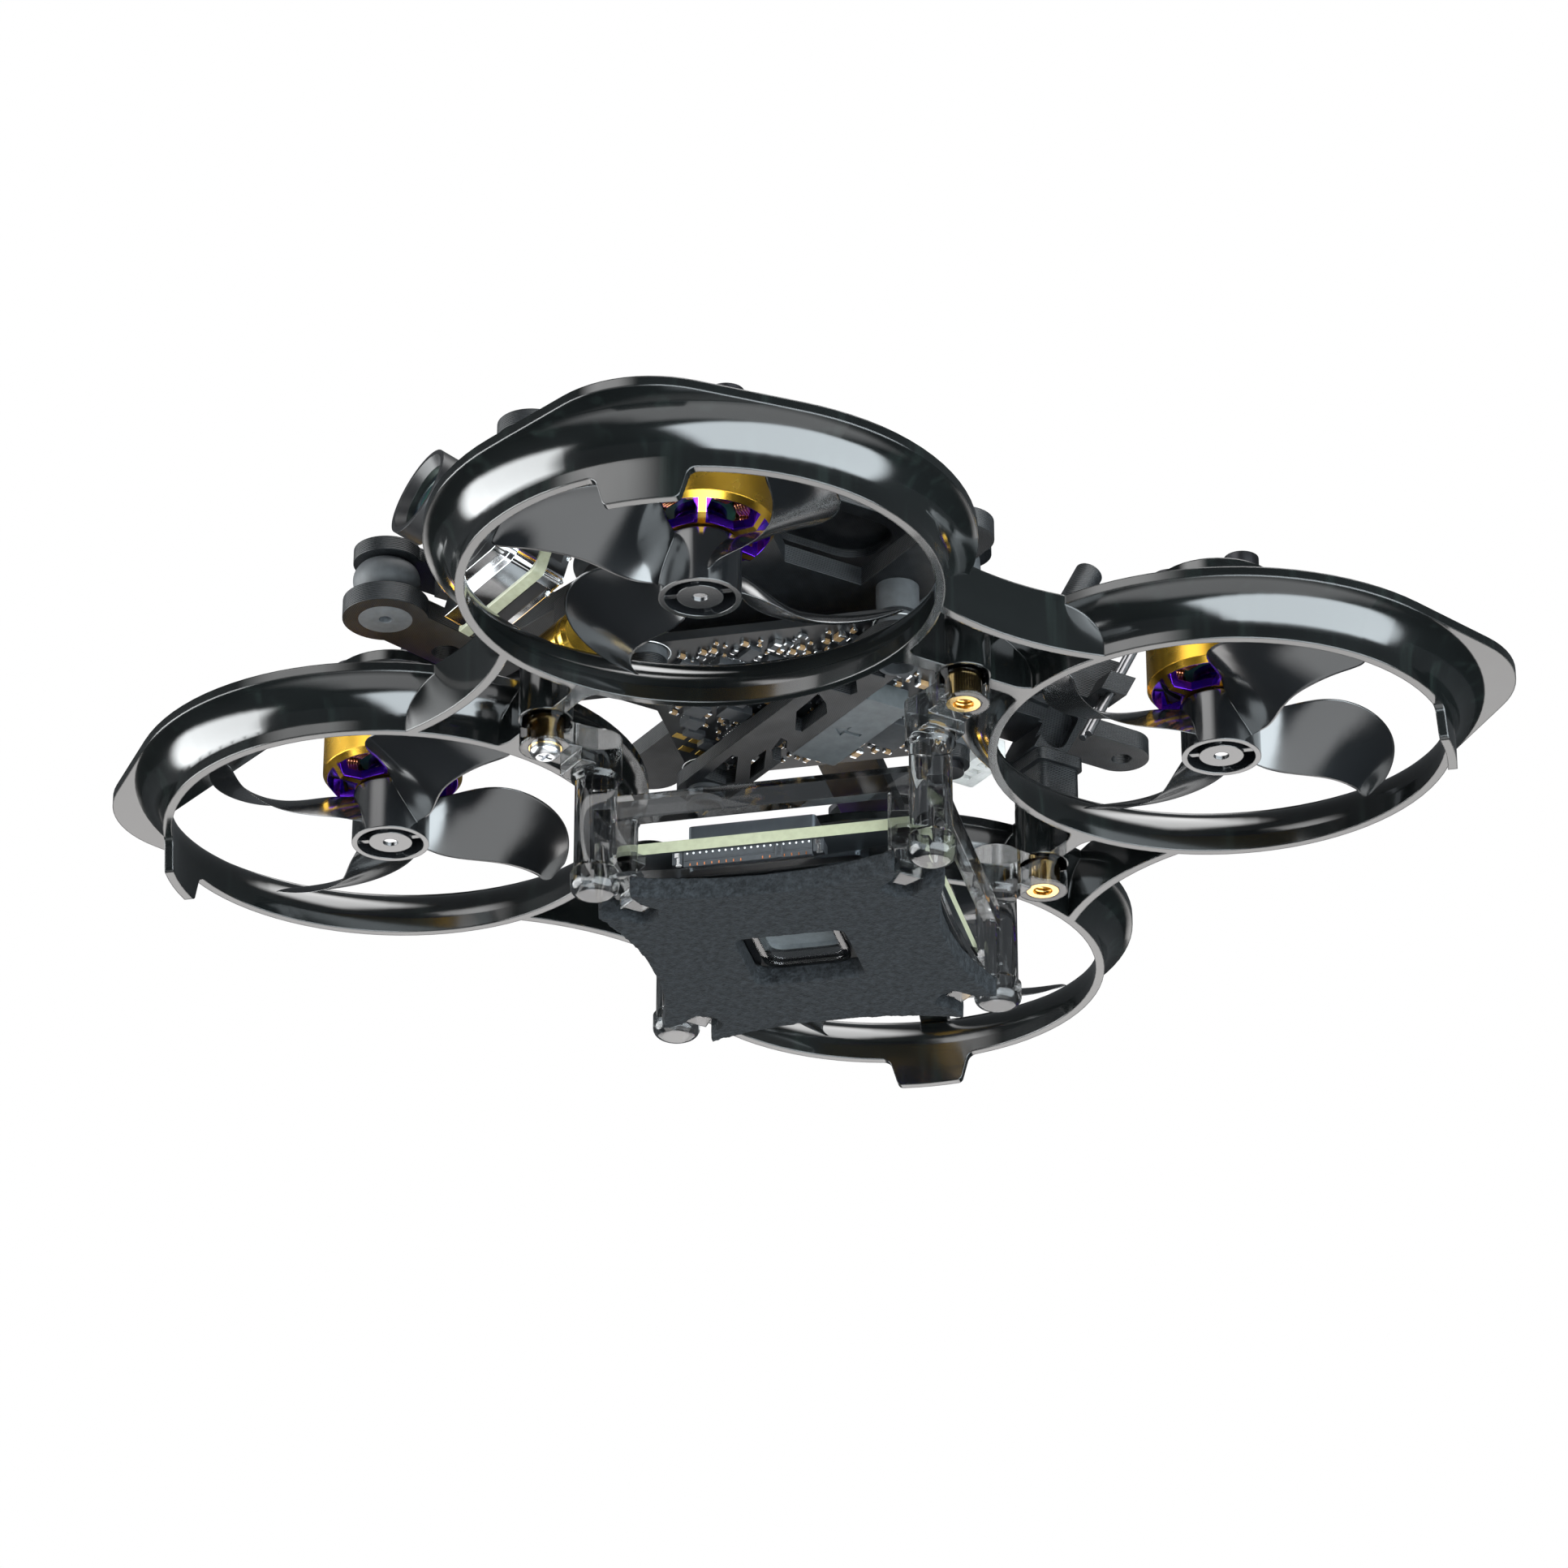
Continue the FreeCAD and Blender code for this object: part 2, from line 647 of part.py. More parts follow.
def motor_base(label):
    """The fixed base with its bearing tube; the base seats on the deck's lower face."""
    body = new_body("base_body_" + label)
    inner = D["bearing_radius"] - 0.3
    top = D["deck_floor"]
    revolve(
        body,
        "base_turned_" + label,
        [
            (inner, D["tube_floor"] + D["bearing_height"]),
            (D["bearing_radius"], D["tube_floor"] + D["bearing_height"]),
            (D["bearing_radius"], D["tube_floor"]),
            (D["tube_radius"], D["tube_floor"]),
            (D["tube_radius"], D["base_floor"]),
            (D["base_radius"], D["base_floor"]),
            (D["base_radius"], top - 0.5),
            (D["base_radius"] - 0.5, top),
            (D["bearing_radius"], top),
            (D["bearing_radius"], top - D["bearing_height"]),
            (inner, top - D["bearing_height"]),
        ],
    )
    circle = D["screw_circle"]
    holes = pocket(body, "tapped_" + label, 4.0, 16.0, circles=[(circle, 0, 0.8)])
    polar(body, "tapped_round_" + label, [holes], 3)
    window = [
        (-circle + 0.9, -1.3),
        (-circle + 0.9, 1.3),
        (-circle - 1.0, 2.3, 5.5),
        (-circle - 1.0, -2.3),
    ]
    slot = pocket(body, "vent_" + label, 4.0, 16.0, [window])
    polar(body, "vents_" + label, [slot], 3)
    keep(body, "motor_base_" + label, *motor_place(label))


def stator(label):
    """Nine-tooth core with a copper coil on every tooth, each coil a solid of its own."""
    low, tall = 8.4, 3.2
    core = new_body("core_" + label)
    ring = D["tube_radius"]
    pad(core, "ring_" + label, tall, low, circles=[(0, 0, ring), (0, 0, ring + 0.8)])
    tooth_half, shoe_half = 0.42, 1.35
    shoe_in = D["stator_radius"] - 0.6
    tooth = [
        (ring + 0.4, -tooth_half),
        (shoe_in, -tooth_half),
        (shoe_in, -shoe_half),
        (shoe_in + 0.38, -shoe_half, D["stator_radius"]),
        (shoe_in + 0.38, shoe_half),
        (shoe_in, shoe_half),
        (shoe_in, tooth_half),
        (ring + 0.4, tooth_half),
    ]
    teeth = pad(core, "tooth_" + label, tall, low, [tooth])
    polar(core, "teeth_" + label, [teeth], 9)
    coils = new_body("coils_" + label)
    coil_out, coil_in = shoe_in - 0.02, ring + 1.0
    wire = 0.45
    outer = [
        (coil_in, -tooth_half - 0.4),
        (coil_out, -tooth_half - 0.75),
        (coil_out, tooth_half + 0.75),
        (coil_in, tooth_half + 0.4),
    ]
    whole = pad(coils, "coil_" + label, tall + 2 * wire, low - wire, [outer])
    gap = rectangle(coil_in - 0.5, -tooth_half, coil_out + 0.5, tooth_half)
    hollow = pocket(coils, "coil_gap_" + label, tall, low + tall, [gap])
    polar(coils, "coil_round_" + label, [whole, hollow], 9)
    keep(group("stator_group_" + label, [core, coils]), "stator_" + label, *motor_place(label))


def bell(label):
    """The turning bell, with six windows through its chamfered lower end."""
    body = new_body("bell_body_" + label)
    skin = 0.9
    floor, corner = D["bell_floor"], D["bell_corner"]
    revolve(
        body,
        "bell_turned_" + label,
        [
            (D["shaft_radius"], floor),
            (D["bell_face"], floor),
            (D["bell_radius"], corner),
            (D["bell_radius"], D["bell_top"]),
            (D["magnet_outer"], D["bell_top"]),
            (D["magnet_outer"], corner + skin),
            (D["magnet_inner"], corner + skin),
            (D["bell_face"] - 0.4, floor + skin),
            (1.5, floor + skin),
            (1.5, floor + skin + 0.9),
            (D["shaft_radius"], floor + skin + 0.9),
        ],
    )
    inner, outer, half, foot = 3.8, 6.6, 2.5, 1.3
    edge = math.sqrt(outer * outer - half * half)
    window = [
        (inner, -foot),
        (edge - 0.7, -half - 0.1),
        (edge, -half, outer),
        (edge, half),
        (edge - 0.7, half + 0.1),
        (inner, foot),
    ]
    opening = pocket(body, "window_" + label, 4.0, corner + skin + 0.3, [window])
    polar(body, "windows_" + label, [opening], 6)
    keep(body, "bell_" + label, *motor_place(label))


def magnet_ring(label):
    """Flux ring with twelve magnets, pressed into the bell."""
    body = new_body("magnets_" + label)
    low = D["bell_corner"] + 1.1
    tall = D["bell_top"] - low - 0.2
    pad(
        body,
        "flux_" + label,
        tall,
        low,
        circles=[(0, 0, D["magnet_outer"]), (0, 0, D["magnet_inner"])],
    )
    slot_half = 0.18
    gap = rectangle(D["magnet_inner"] - 0.5, -slot_half, D["magnet_inner"] + 0.6, slot_half)
    slot = pocket(body, "gap_" + label, tall + 1.0, D["bell_top"], [gap])
    polar(body, "gaps_" + label, [slot], 12)
    keep(body, "magnet_ring_" + label, *motor_place(label))


def shaft(label):
    """The 1.5 mm steel shaft."""
    thing = cylinder("shaft_rod_" + label, D["shaft_radius"], D["shaft_high"] - D["shaft_low"])
    keep(thing, "shaft_" + label, *motor_place(label), D["shaft_low"])


# radius share, chord, pitch angle, sweep angle, thickness, mid height above the rim
BLADE_STATIONS = [
    (0.165, 4.9, 58.0, 2.0, 0.95, 2.35),
    (0.27, 6.4, 46.0, -6.0, 0.85, 2.35),
    (0.42, 8.3, 36.0, -14.0, 0.75, 2.3),
    (0.57, 9.3, 29.0, -15.5, 0.65, 2.25),
    (0.72, 9.2, 24.0, -10.0, 0.55, 2.2),
    (0.86, 7.7, 20.0, -1.5, 0.48, 2.1),
    (0.95, 5.4, 17.0, 6.0, 0.4, 2.0),
    (1.0, 2.6, 16.0, 10.0, 0.3, 1.95),
]


def blade_shape(hand):
    """One swept and twisted blade, lofted through thin cambered sections."""
    wires = []
    for share, chord, pitch, sweep, thick, height in BLADE_STATIONS:
        radius = share * (D["blade_tip"].value - 0.3)
        angle = math.radians(hand * sweep)
        lift = math.radians(pitch)
        outward = V(math.cos(angle), math.sin(angle), 0)
        around = V(-math.sin(angle), math.cos(angle), 0) * hand
        back = around * math.cos(lift) - V(0, 0, 1) * math.sin(lift)
        middle = outward * radius + V(0, 0, height)
        up = outward.cross(back) * hand
        front, rear = middle + back * (chord / 2), middle - back * (chord / 2)
        hollow = middle + up * (0.05 * chord)
        upper = Part.Arc(front, hollow + up * (thick / 2), rear)
        lower = Part.Arc(rear, hollow - up * (thick / 2), front)
        wires.append(Part.Wire([upper.toShape(), lower.toShape()]))
    return Part.makeLoft(wires, True, False)


def propeller(label):
    """A four-blade pusher propeller: a skirted hub on the shaft and swept blades."""
    hand = MOTORS[label][2]
    hub = new_body("hub_" + label)
    low, high = D["hub_low"], D["hub_high"]
    roof = high - 1.0
    revolve(
        hub,
        "hub_turned_" + label,
        [
            (D["shaft_radius"], low + 0.15),
            (D["hub_boss"], low + 0.15),
            (D["hub_boss"], roof),
            (D["hub_inner"], roof),
            (D["hub_inner"], low),
            (D["hub_radius"], low),
            (D["hub_radius"], high - 0.4),
            (D["hub_radius"] - 0.4, high),
            (D["shaft_radius"], high),
        ],
    )
    rib = rectangle(D["hub_boss"] - 0.2, -0.35, D["hub_inner"] + 0.2, 0.35)
    ribs = pad(hub, "rib_" + label, roof - low - 0.4, low + 0.5, [rib], turn=45.0)
    polar(hub, "ribs_" + label, [ribs], 4)
    blades = []
    rest_turn = -6.5 if hand > 0 else 0.0
    for number in range(4):
        blade = DOC.addObject("Part::Feature", "blade_%d_%s" % (number, label))
        blade.Shape = blade_shape(hand)
        turning = FreeCAD.Rotation(V(0, 0, 1), 90 * number + rest_turn)
        blade.Placement = FreeCAD.Placement(V(0, 0, 0), turning)
        blades.append(blade)
    bore = cylinder("hub_bore_" + label, D["hub_inner"], roof + 1.5, 0, 0, -1.5)
    trimmed = cut("blades_trimmed_" + label, fuse("blades_" + label, blades), bore)
    whole = fuse("propeller_fused_" + label, [hub, trimmed])
    keep(whole, "propeller_" + label, *motor_place(label))


def motor_bearings():
    """Two ball bearings in every motor."""
    body = new_body("bearings_body")
    for name, z in (("lower", D["tube_floor"]), ("upper", D["deck_floor"] - D["bearing_height"])):
        circles = []
        for label in MOTORS:
            x, y = motor_place(label)
            circles.append((x, y, D["bearing_radius"]))
            circles.append((x, y, D["bearing_bore"]))
        pad(body, "bearings_" + name, D["bearing_height"], z, circles=circles)
    keep(body, "motor_bearings")


def motor_screws():
    """Three screws per motor, through the deck into the motor base."""
    body = new_body("motor_screws_body")
    shanks, heads, sockets = [], [], []
    for label in MOTORS:
        x, y = motor_place(label)
        for turn in (0, 120, 240):
            way = math.radians(turn)
            at = (x + D["screw_circle"] * math.cos(way), y + D["screw_circle"] * math.sin(way))
            shanks.append((*at, 0.8))
            heads.append((*at, 1.75))
            sockets.append((*at, 0.7))
    top = D["deck_floor"] + D["deck_thick"] + D["ring_thick"]
    shank_low = D["base_floor"] + 0.2
    pad(body, "heads", 1.2, top, circles=heads)
    pad(body, "shanks", top - shank_low, shank_low, circles=shanks)
    pocket(body, "drives", 0.7, top + 1.2, circles=sockets)
    keep(body, "motor_screws")


# ---- Deck --------------------------------------------------------------------------------


def capsule(x1, y1, x2, y2, half):
    """A straight bar with round ends between two points."""
    x1, y1, x2, y2, half = [as_size(n) for n in (x1, y1, x2, y2, half)]
    way = math.atan2(y2.value - y1.value, x2.value - x1.value)
    side_x, side_y = half * math.sin(way), half * math.cos(way)
    return [
        (x1 + side_x, y1 - side_y),
        (x2 + side_x, y2 - side_y, half * 1.0001),
        (x2 - side_x, y2 + side_y),
        (x1 - side_x, y1 + side_y, half * 1.0001),
    ]


def motor_deck():
    """The black deck plate that carries the motors, the controller, the camera and the antennas."""
    body = new_body("deck_body")
    z, thick = D["deck_floor"], D["deck_thick"]
    half = D["deck_half"]
    pad(body, "deck_middle", thick, z, [rounded(half, half, 3.0)])
    reach = D["ear_offset"]
    arm = D["deck_arm"]
    pad(body, "deck_arm_x", thick, z, [capsule(-reach, 0, reach, 0, arm)])
    front = capsule(0, D["third_ear_y"], 0, D["rear_ear_y"], D["rear_ear_radius"])
    pad(body, "deck_arm_y", thick, z, [front])
    pad(body, "deck_third_ear", thick, z, circles=[(0, D["third_ear_y"], 3.3)])
    motor = D["motor_offset"]
    for name, side in (("rising", 1), ("falling", -1)):
        bar = capsule(-motor, -side * motor, motor, side * motor, D["deck_diagonal"])
        pad(body, "deck_diagonal_" + name, thick, z, [bar])
    seats = [(*motor_place(label), D["motor_seat"]) for label in MOTORS]
    pad(body, "deck_seats", thick, z, circles=seats)
    ear_x, ear_y = D["camera_ear_x"], D["camera_ear_y"]
    for name, side in (("left", 1), ("right", -1)):
        joint_x, joint_y = side * 17.4, -27.0
        bar = capsule(side * ear_x, ear_y, joint_x, joint_y, D["deck_arm"])
        pad(body, "deck_camera_arm_" + name, thick, z, [bar])
        brace = capsule(joint_x, joint_y + 1.0, 0, D["third_ear_y"] - 0.6, 2.6)
        pad(body, "deck_brace_" + name, thick, z, [brace])
    ears = [(side * ear_x, ear_y, D["camera_ear_radius"]) for side in (1, -1)]
    pad(body, "deck_camera_ears", thick, z, circles=ears)
    pad(body, "deck_seat", 2.4, z - 2.4, [rectangle(-2.5, -27.2, 2.5, -25.1)])
    deck_holes(body, z, thick)
    printed = fuse("deck_printed", [body, antenna_wedge()])
    keep(cut("deck_cut", printed, fuse("wedge_tools", wedge_tools())), "motor_deck")


def lengthwise_pad(body, name, low, high, points):
    """Adds material from low to high along X, with an outline of (y, z) points."""
    sketch = new_sketch(body, name + "_sketch", "YZ_Plane", low)
    add_outline(sketch, points)
    feature = body.newObject("PartDesign::Pad", name)
    feature.Profile = sketch
    bind(feature, "Length", as_size(high) - low)
    return feature


def antenna_wedge():
    """The leaning wedge on the deck's rear arm that holds the antenna sleeve and its two rods."""
    body = new_body("wedge_body")
    half = D["wedge_half"]
    low, deck_top, top = D["wedge_low"], D["deck_floor"] + D["deck_thick"], D["wedge_top"]
    stem = [(26.2, low), (30.2, low), (34.1, 18.6), (24.0, 18.6), (23.2, deck_top), (28.9, 16.4)]
    lengthwise_pad(body, "wedge_stem", -half, half, stem)
    head = [(23.5, 17.6), (33.6, 17.6), (36.4, top), (26.0, top)]
    lengthwise_pad(body, "wedge_head", -half, 5.2, head)
    clip = [(31.8, 17.6), (34.9, 17.6), (36.2, 20.0), (33.1, 20.0)]
    lengthwise_pad(body, "wedge_clip", 4.6, 7.8, clip)
    return body


def wedge_tools():
    """What is cut from the wedge: the sleeve's socket, the rods' ways and the oval recess."""
    recess = new_body("recess_body")
    lengthwise_pad(recess, "recess", D["wedge_half"] - 1.2, 4.6, capsule(28.7, 13.4, 30.1, 16.2, 1.7))
    tools = [recess, antenna_rod("socket_bore", D["sleeve_radius"] + 0.05, 18.3, *SLEEVE_START)]
    for number, start in enumerate(ROD_STARTS):
        tools.append(antenna_rod("rod_way_%d" % number, D["rod_radius"] + 0.05, 14.0, *start))
    return tools


def deck_holes(body, z, thick):
    """Screw, shaft, insert and lightening holes of the deck."""
    top = z + thick
    offset = D["stack_offset"]
    holes = [(offset, 0, 1.0), (-offset, 0, 1.0), (0, offset, 1.0), (0, -offset, 1.0)]
    holes.append((0, D["rear_ear_y"], D["rear_hole"]))
    holes += [(side * D["camera_ear_x"], D["camera_ear_y"], 2.7) for side in (1, -1)]
    holes.append((0, D["third_ear_y"], 2.2))
    holes += [(side * 17.2, -31.2, 1.5) for side in (1, -1)]
    holes += [(side * D["rear_ball_x"], D["rear_ball_y"], 0.6) for side in (1, -1)]
    for label in MOTORS:
        x, y = motor_place(label)
        holes.append((x, y, 1.4))
        for turn in (0, 120, 240):
            way = math.radians(turn)
            circle = D["screw_circle"]
            holes.append((x + circle * math.cos(way), y + circle * math.sin(way), 1.05))
    pocket(body, "deck_holes", thick + 1.0, top + 0.5, circles=holes)
    middle = rounded(9.5, 9.5, 3.0)
    pocket(body, "deck_window", thick + 1.0, top + 0.5, [middle], turn=45.0)


# ---- Cage and landing pad ---------------------------------------------------------------------


def cage_post(turn):
    """One post of the cage, with a bulged round foot and a shoulder under the ear's bridge."""
    body = new_body("post_%d" % turn)
    low, radius, foot = D["post_low"], D["post_radius"], D["foot_radius"]
    revolve(
        body,
        "post_turned_%d" % turn,
        [
            (0, low),
            (foot - 1.0, low, 1.0),
            (foot, low + 1.0),
            (foot, low + 2.4),
            (radius, low + 2.8),
            (radius, D["shoulder_low"] - 0.4),
            (D["shoulder_radius"], D["shoulder_low"]),
            (D["shoulder_radius"], D["ear_web_top"]),
            (0, D["ear_web_top"]),
        ],
    )
    way = math.radians(turn + 90)
    return place(body, D["post_offset"] * math.cos(way), D["post_offset"] * math.sin(way))


def cage_side(turn):
    """Hook, board ledge, flanges and rail of the cage, at the +Y post before turning."""
    body = new_body("cage_side_%d" % turn)
    post = D["post_offset"]
    hook = [(-0.7, 17.7), (0.7, 17.7), (1.3, 19.9), (-1.3, 19.9)]
    pad(body, "hook_%d" % turn, D["floor_low"] - D["post_low"], D["post_low"], [hook])
    ledge = rectangle(-2.0, 18.9, 2.0, post - 0.8)
    pad(body, "ledge_%d" % turn, 1.0, D["air_board_low"] - 1.0, [ledge])
    for name, side in (("a", 1), ("b", -1)):
        flange = capsule(0, post, side * 2.6, post - 2.6, 0.6)
        height = D["rail_low"] - D["floor_low"] + D["rail_tall"]
        pad(body, "flange_%s_%d" % (name, turn), height, D["floor_low"], [flange])
    rail = capsule(0, post, post, 0, 0.5 * D["rail_thick"])
    pad(body, "rail_%d" % turn, D["rail_tall"], D["rail_low"], [rail])
    return place(body, 0, 0, 0, turn)


def cage_ear(turn):
    """One ear with its bridge and gusset, which end on the round shoulder of its post."""
    body = new_body("cage_ear_%d" % turn)
    post, ear = D["post_offset"], D["ear_offset"]
    low, past = D["ear_floor"], 0.5
    pad(body, "ear_%d" % turn, -low, low, circles=[(0, ear, D["ear_radius"])])
    bridge = [(-2.3, post), (2.3, post), (1.9, ear), (-1.9, ear)]
    pad(body, "bridge_%d" % turn, D["ear_web_top"] - low, low, [bridge])
    gusset = [(-2.3, post), (2.3, post), (2.1, post + 2.9), (-2.1, post + 2.9)]
    pad(body, "gusset_%d" % turn, low - D["gusset_low"], D["gusset_low"], [gusset])
    seat = [(0, ear, D["insert_radius"])]
    pocket(body, "insert_seat_%d" % turn, 5.0, 1.0, circles=seat)
    high = D["ear_web_top"] + past
    depth = high + past - D["gusset_low"]
    shoulder = [(0, post, D["shoulder_radius"])]
    pocket(body, "shoulder_seat_%d" % turn, depth, high, circles=shoulder)
    return place(body, 0, 0, 0, turn)


def cage_floor():
    """The thin floor of the cage with hollow sides and the button's window."""
    body = new_body("cage_floor_body")
    side = D["post_offset"] * math.sqrt(0.5)
    bend = -106.0
    corners = [(-side, -side), (side, -side), (side, side), (-side, side)]
    outline = [(x, y, bend) for x, y in corners]
    pad(body, "floor_plate", D["floor_thick"], D["floor_low"], [outline], turn=45.0)
    window = rounded(*WELL)
    pocket(body, "floor_window", 3.0, D["floor_low"] + 2.0, [window], turn=45.0)
    return body


def cage():
    """The clear cage under the drone: posts, rails and floor in one, and its four ears."""
    solids = [cage_floor()]
    for turn in AXIS_TURNS:
        solids += [cage_post(turn), cage_side(turn)]
    keep(fuse("cage_fused", solids), "cage")
    keep(group("cage_ears_all", [cage_ear(turn) for turn in AXIS_TURNS]), "cage_ears")


def cage_inserts():
    """Brass inserts through the ears and into the frame's bosses."""
    body = new_body("inserts_body")
    low = D["ear_floor"]
    circles = []
    for x, y in ((1, 0), (-1, 0), (0, 1), (0, -1)):
        circles.append((x * D["ear_offset"], y * D["ear_offset"], D["insert_radius"]))
        circles.append((x * D["ear_offset"], y * D["ear_offset"], D["insert_hole"]))
    pad(body, "inserts", D["insert_top"] - low, low, circles=circles)
    keep(body, "cage_inserts")


def cage_screw():
    """The pan head screw in the front ear."""
    body = new_body("cage_screw_body")
    low = D["ear_floor"]
    revolve(
        body,
        "screw_turned",
        [
            (0, low - 0.95),
            (0.9, low - 0.95, 1.1),
            (1.5, low - 0.45),
            (1.5, low),
            (D["insert_hole"] - 0.05, low),
            (D["insert_hole"] - 0.05, 4.5),
            (0, 4.5),
        ],
    )
    cross = [rectangle(-0.75, -0.17, 0.75, 0.17)]
    slot = pocket(body, "screw_slot", 0.5, low - 0.45, cross)
    polar(body, "screw_cross", [slot], 4)
    keep(body, "cage_screw", 0, -D["ear_offset"])


def foam_pad():
    """The foam landing pad with hollow sides, corner notches and a window."""
    body = new_body("foam_pad_body")
    side, along, bend = D["pad_side"], D["pad_along"], -D["pad_bend"]
    mouth, depth, wide = 13.9, 12.2, 1.25
    outline = []
    for quarter in range(4):
        way = quarter * math.pi / 2
        ring = [
            (-along, -side, bend),
            (along, -side),
            (mouth - wide, -mouth - wide),
            (depth - wide, -depth - wide, -3.0),
            (depth + wide, -depth + wide),
            (mouth + wide, -mouth + wide),
        ]
        for point in ring:
            x, y = as_size(point[0]), as_size(point[1])
            turned = (
                x * round(math.cos(way)) - y * round(math.sin(way)),
                x * round(math.sin(way)) + y * round(math.cos(way)),
            )
            outline.append(turned + tuple(point[2:]))
    low = D["floor_low"] - D["pad_thick"]
    pad(body, "foam", D["pad_thick"], low, [outline], turn=45.0)
    window = rounded(0.5 * D["window_long"], 0.5 * D["window_wide"], 1.1)
    pocket(body, "foam_window", D["pad_thick"] + 1.0, D["floor_low"] + 0.5, [window], turn=45.0)
    keep(body, "foam_pad")


def pad_bezel():
    """The clear ring under the cage floor round the button's well."""
    body = new_body("bezel_body")
    outlines = [rounded(4.4, 5.0, 1.7), rounded(*WELL)]
    pad(body, "bezel", D["bezel_tall"], D["floor_low"] - D["bezel_tall"], outlines, turn=45.0)
    keep(body, "pad_bezel")


def pad_button():
    """The bind button: a dished plate that rests on the cage floor, reached through the well."""
    body = new_body("button_body")
    low = D["floor_low"] + D["floor_thick"] + 0.03
    pad(body, "button_plate", D["button_thick"], low, [rounded(4.5, 4.95, 1.7)], turn=45.0)
    depth = 0.5 * D["button_thick"]
    pocket(body, "button_dish", depth, low + depth, [rounded(*WELL)], turn=45.0)
    keep(body, "pad_button")


# ---- Air unit --------------------------------------------------------------------------------


def air_unit():
    """The video unit's board, its edge connector and its shield cans."""
    half = D["air_board_half"]
    board = new_body("air_board_body")
    low, thick = D["air_board_low"], D["air_board_thick"]
    pad(board, "air_board", thick, low, [rounded(half, half, 0.8)], turn=45.0)
    keep(board, "air_unit_board")
    plug = new_body("air_plug_body")
    pad(plug, "plug", 1.6, low - 1.6, [rectangle(-8.3, -half + 0.3, 4.5, -half + 2.7)], turn=45.0)
    for name, x in (("left", -8.9), ("right", 5.1)):
        clip = rectangle(x - 0.5, -half + 0.3, x + 0.5, -half + 2.2)
        pad(plug, "clip_" + name, 1.3, low - 1.3, [clip], turn=45.0)
    keep(plug, "air_unit_connector")
    cans = new_body("air_cans_body")
    lower = [
        rounded(3.2, 4.8, 0.6, -9.4, 5.6),
        rounded(3.2, 4.8, 0.6, 9.4, 5.6),
        rounded(8.6, 2.6, 0.6, 0, -8.4),
    ]
    pad(cans, "lower_cans", 1.5, low - 1.5, lower, turn=45.0)
    upper = [rounded(6.35, 10.5, 0.4, -1.9, -2.5), rounded(4.2, 5.4, 0.6, 9.5, 3.0)]
    pad(cans, "upper_cans", 2.4, low + thick, upper, turn=45.0)
    keep(cans, "air_unit_shields")


# ---- Flight controller ---------------------------------------------------------------------


def stack_points():
    """Centres of the four controller holes."""
    offset = D["stack_offset"]
    return [(offset, 0), (-offset, 0), (0, offset), (0, -offset)]


def flight_controller():
    """The controller board, set at 45 degrees, with its four grommet holes."""
    body = new_body("controller_body")
    half = D["board_half"]
    pad(body, "board", D["board_thick"], D["board_low"], [rounded(half, half, 2.8)], turn=45.0)
    holes = [(x, y, D["grommet_neck"]) for x, y in stack_points()]
    top = D["board_low"] + D["board_thick"]
    pocket(body, "board_holes", 3.0, top + 1.0, circles=holes)
    keep(body, "flight_controller")


def fc_components():
    """Chips and connectors on both faces of the controller."""
    body = new_body("components_body")
    low, top = D["board_low"], D["board_low"] + D["board_thick"]
    chips = [
        rectangle(-3.5, -11.6, 3.5, -4.6),
        rectangle(-11.5, -2.2, -6.5, 2.8),
        rectangle(7.4, -2.4, 11.6, 1.8),
        rectangle(-3.0, 9.4, 2.0, 13.4),
        rectangle(-7.7, -9.1, -5.6, -7.0),
        rectangle(-10.1, -8.0, -8.2, -6.1),
        rectangle(-6.3, -6.0, -4.2, -3.0),
    ]
    pad(body, "chips", 0.85, low - 0.85, chips)
    small = [
        rectangle(4.6, -10.2, 7.0, -8.9),
        rectangle(4.8, -7.6, 6.2, -5.2),
        rectangle(-12.2, -6.4, -11.0, -4.4),
        rectangle(-13.6, -3.8, -12.3, -1.4),
        rectangle(12.4, -3.4, 13.6, -0.8),
        rectangle(3.0, 10.6, 5.4, 12.0),
        rectangle(-1.2, -14.6, 1.2, -12.6),
    ]
    pad(body, "small_parts", 0.55, low - 0.55, small)
    above = [rounded(3.6, 3.6, 0.5, 0, 0), rounded(4.4, 1.6, 0.4, 0, -9.0)]
    pad(body, "upper_chips", 1.2, top, above, turn=45.0)
    keep(body, "fc_components")


def fc_grommets():
    """Rubber grommets that hold the controller between the bracket and the deck."""
    grommets = []
    low, high = D["bracket_low"] + D["bracket_thick"], D["deck_floor"]
    board, top = D["board_low"], D["board_low"] + D["board_thick"]
    wide, neck = D["grommet_radius"], D["grommet_neck"]
    for number, (x, y) in enumerate(stack_points()):
        body = new_body("grommet_%d" % number)
        revolve(
            body,
            "grommet_turned_%d" % number,
            [
                (0.85, low),
                (wide, low),
                (wide, board),
                (neck, board),
                (neck, top),
                (wide, top),
                (wide, high),
                (0.85, high),
            ],
        )
        grommets.append(place(body, x, y))
    grommets += bracket_bobbins(D["bracket_low"] - 2.0)
    keep(group("grommet_group", grommets), "fc_grommets")


def fc_screws():
    """The stack screws, heads below the bracket, and their nuts on the deck."""
    body = new_body("stack_screws_body")
    low, top = D["bracket_low"], D["deck_floor"] + D["deck_thick"]
    pad(body, "stack_shanks", top - low + 1.6, low, circles=[(*p, 0.8) for p in stack_points()])
    pad(body, "stack_heads", 0.9, low - 0.9, circles=[(*p, 1.5) for p in stack_points()])
    pad(body, "stack_nuts", 1.2, top, circles=[(*p, 1.6) for p in stack_points()])
    keep(body, "fc_screws")


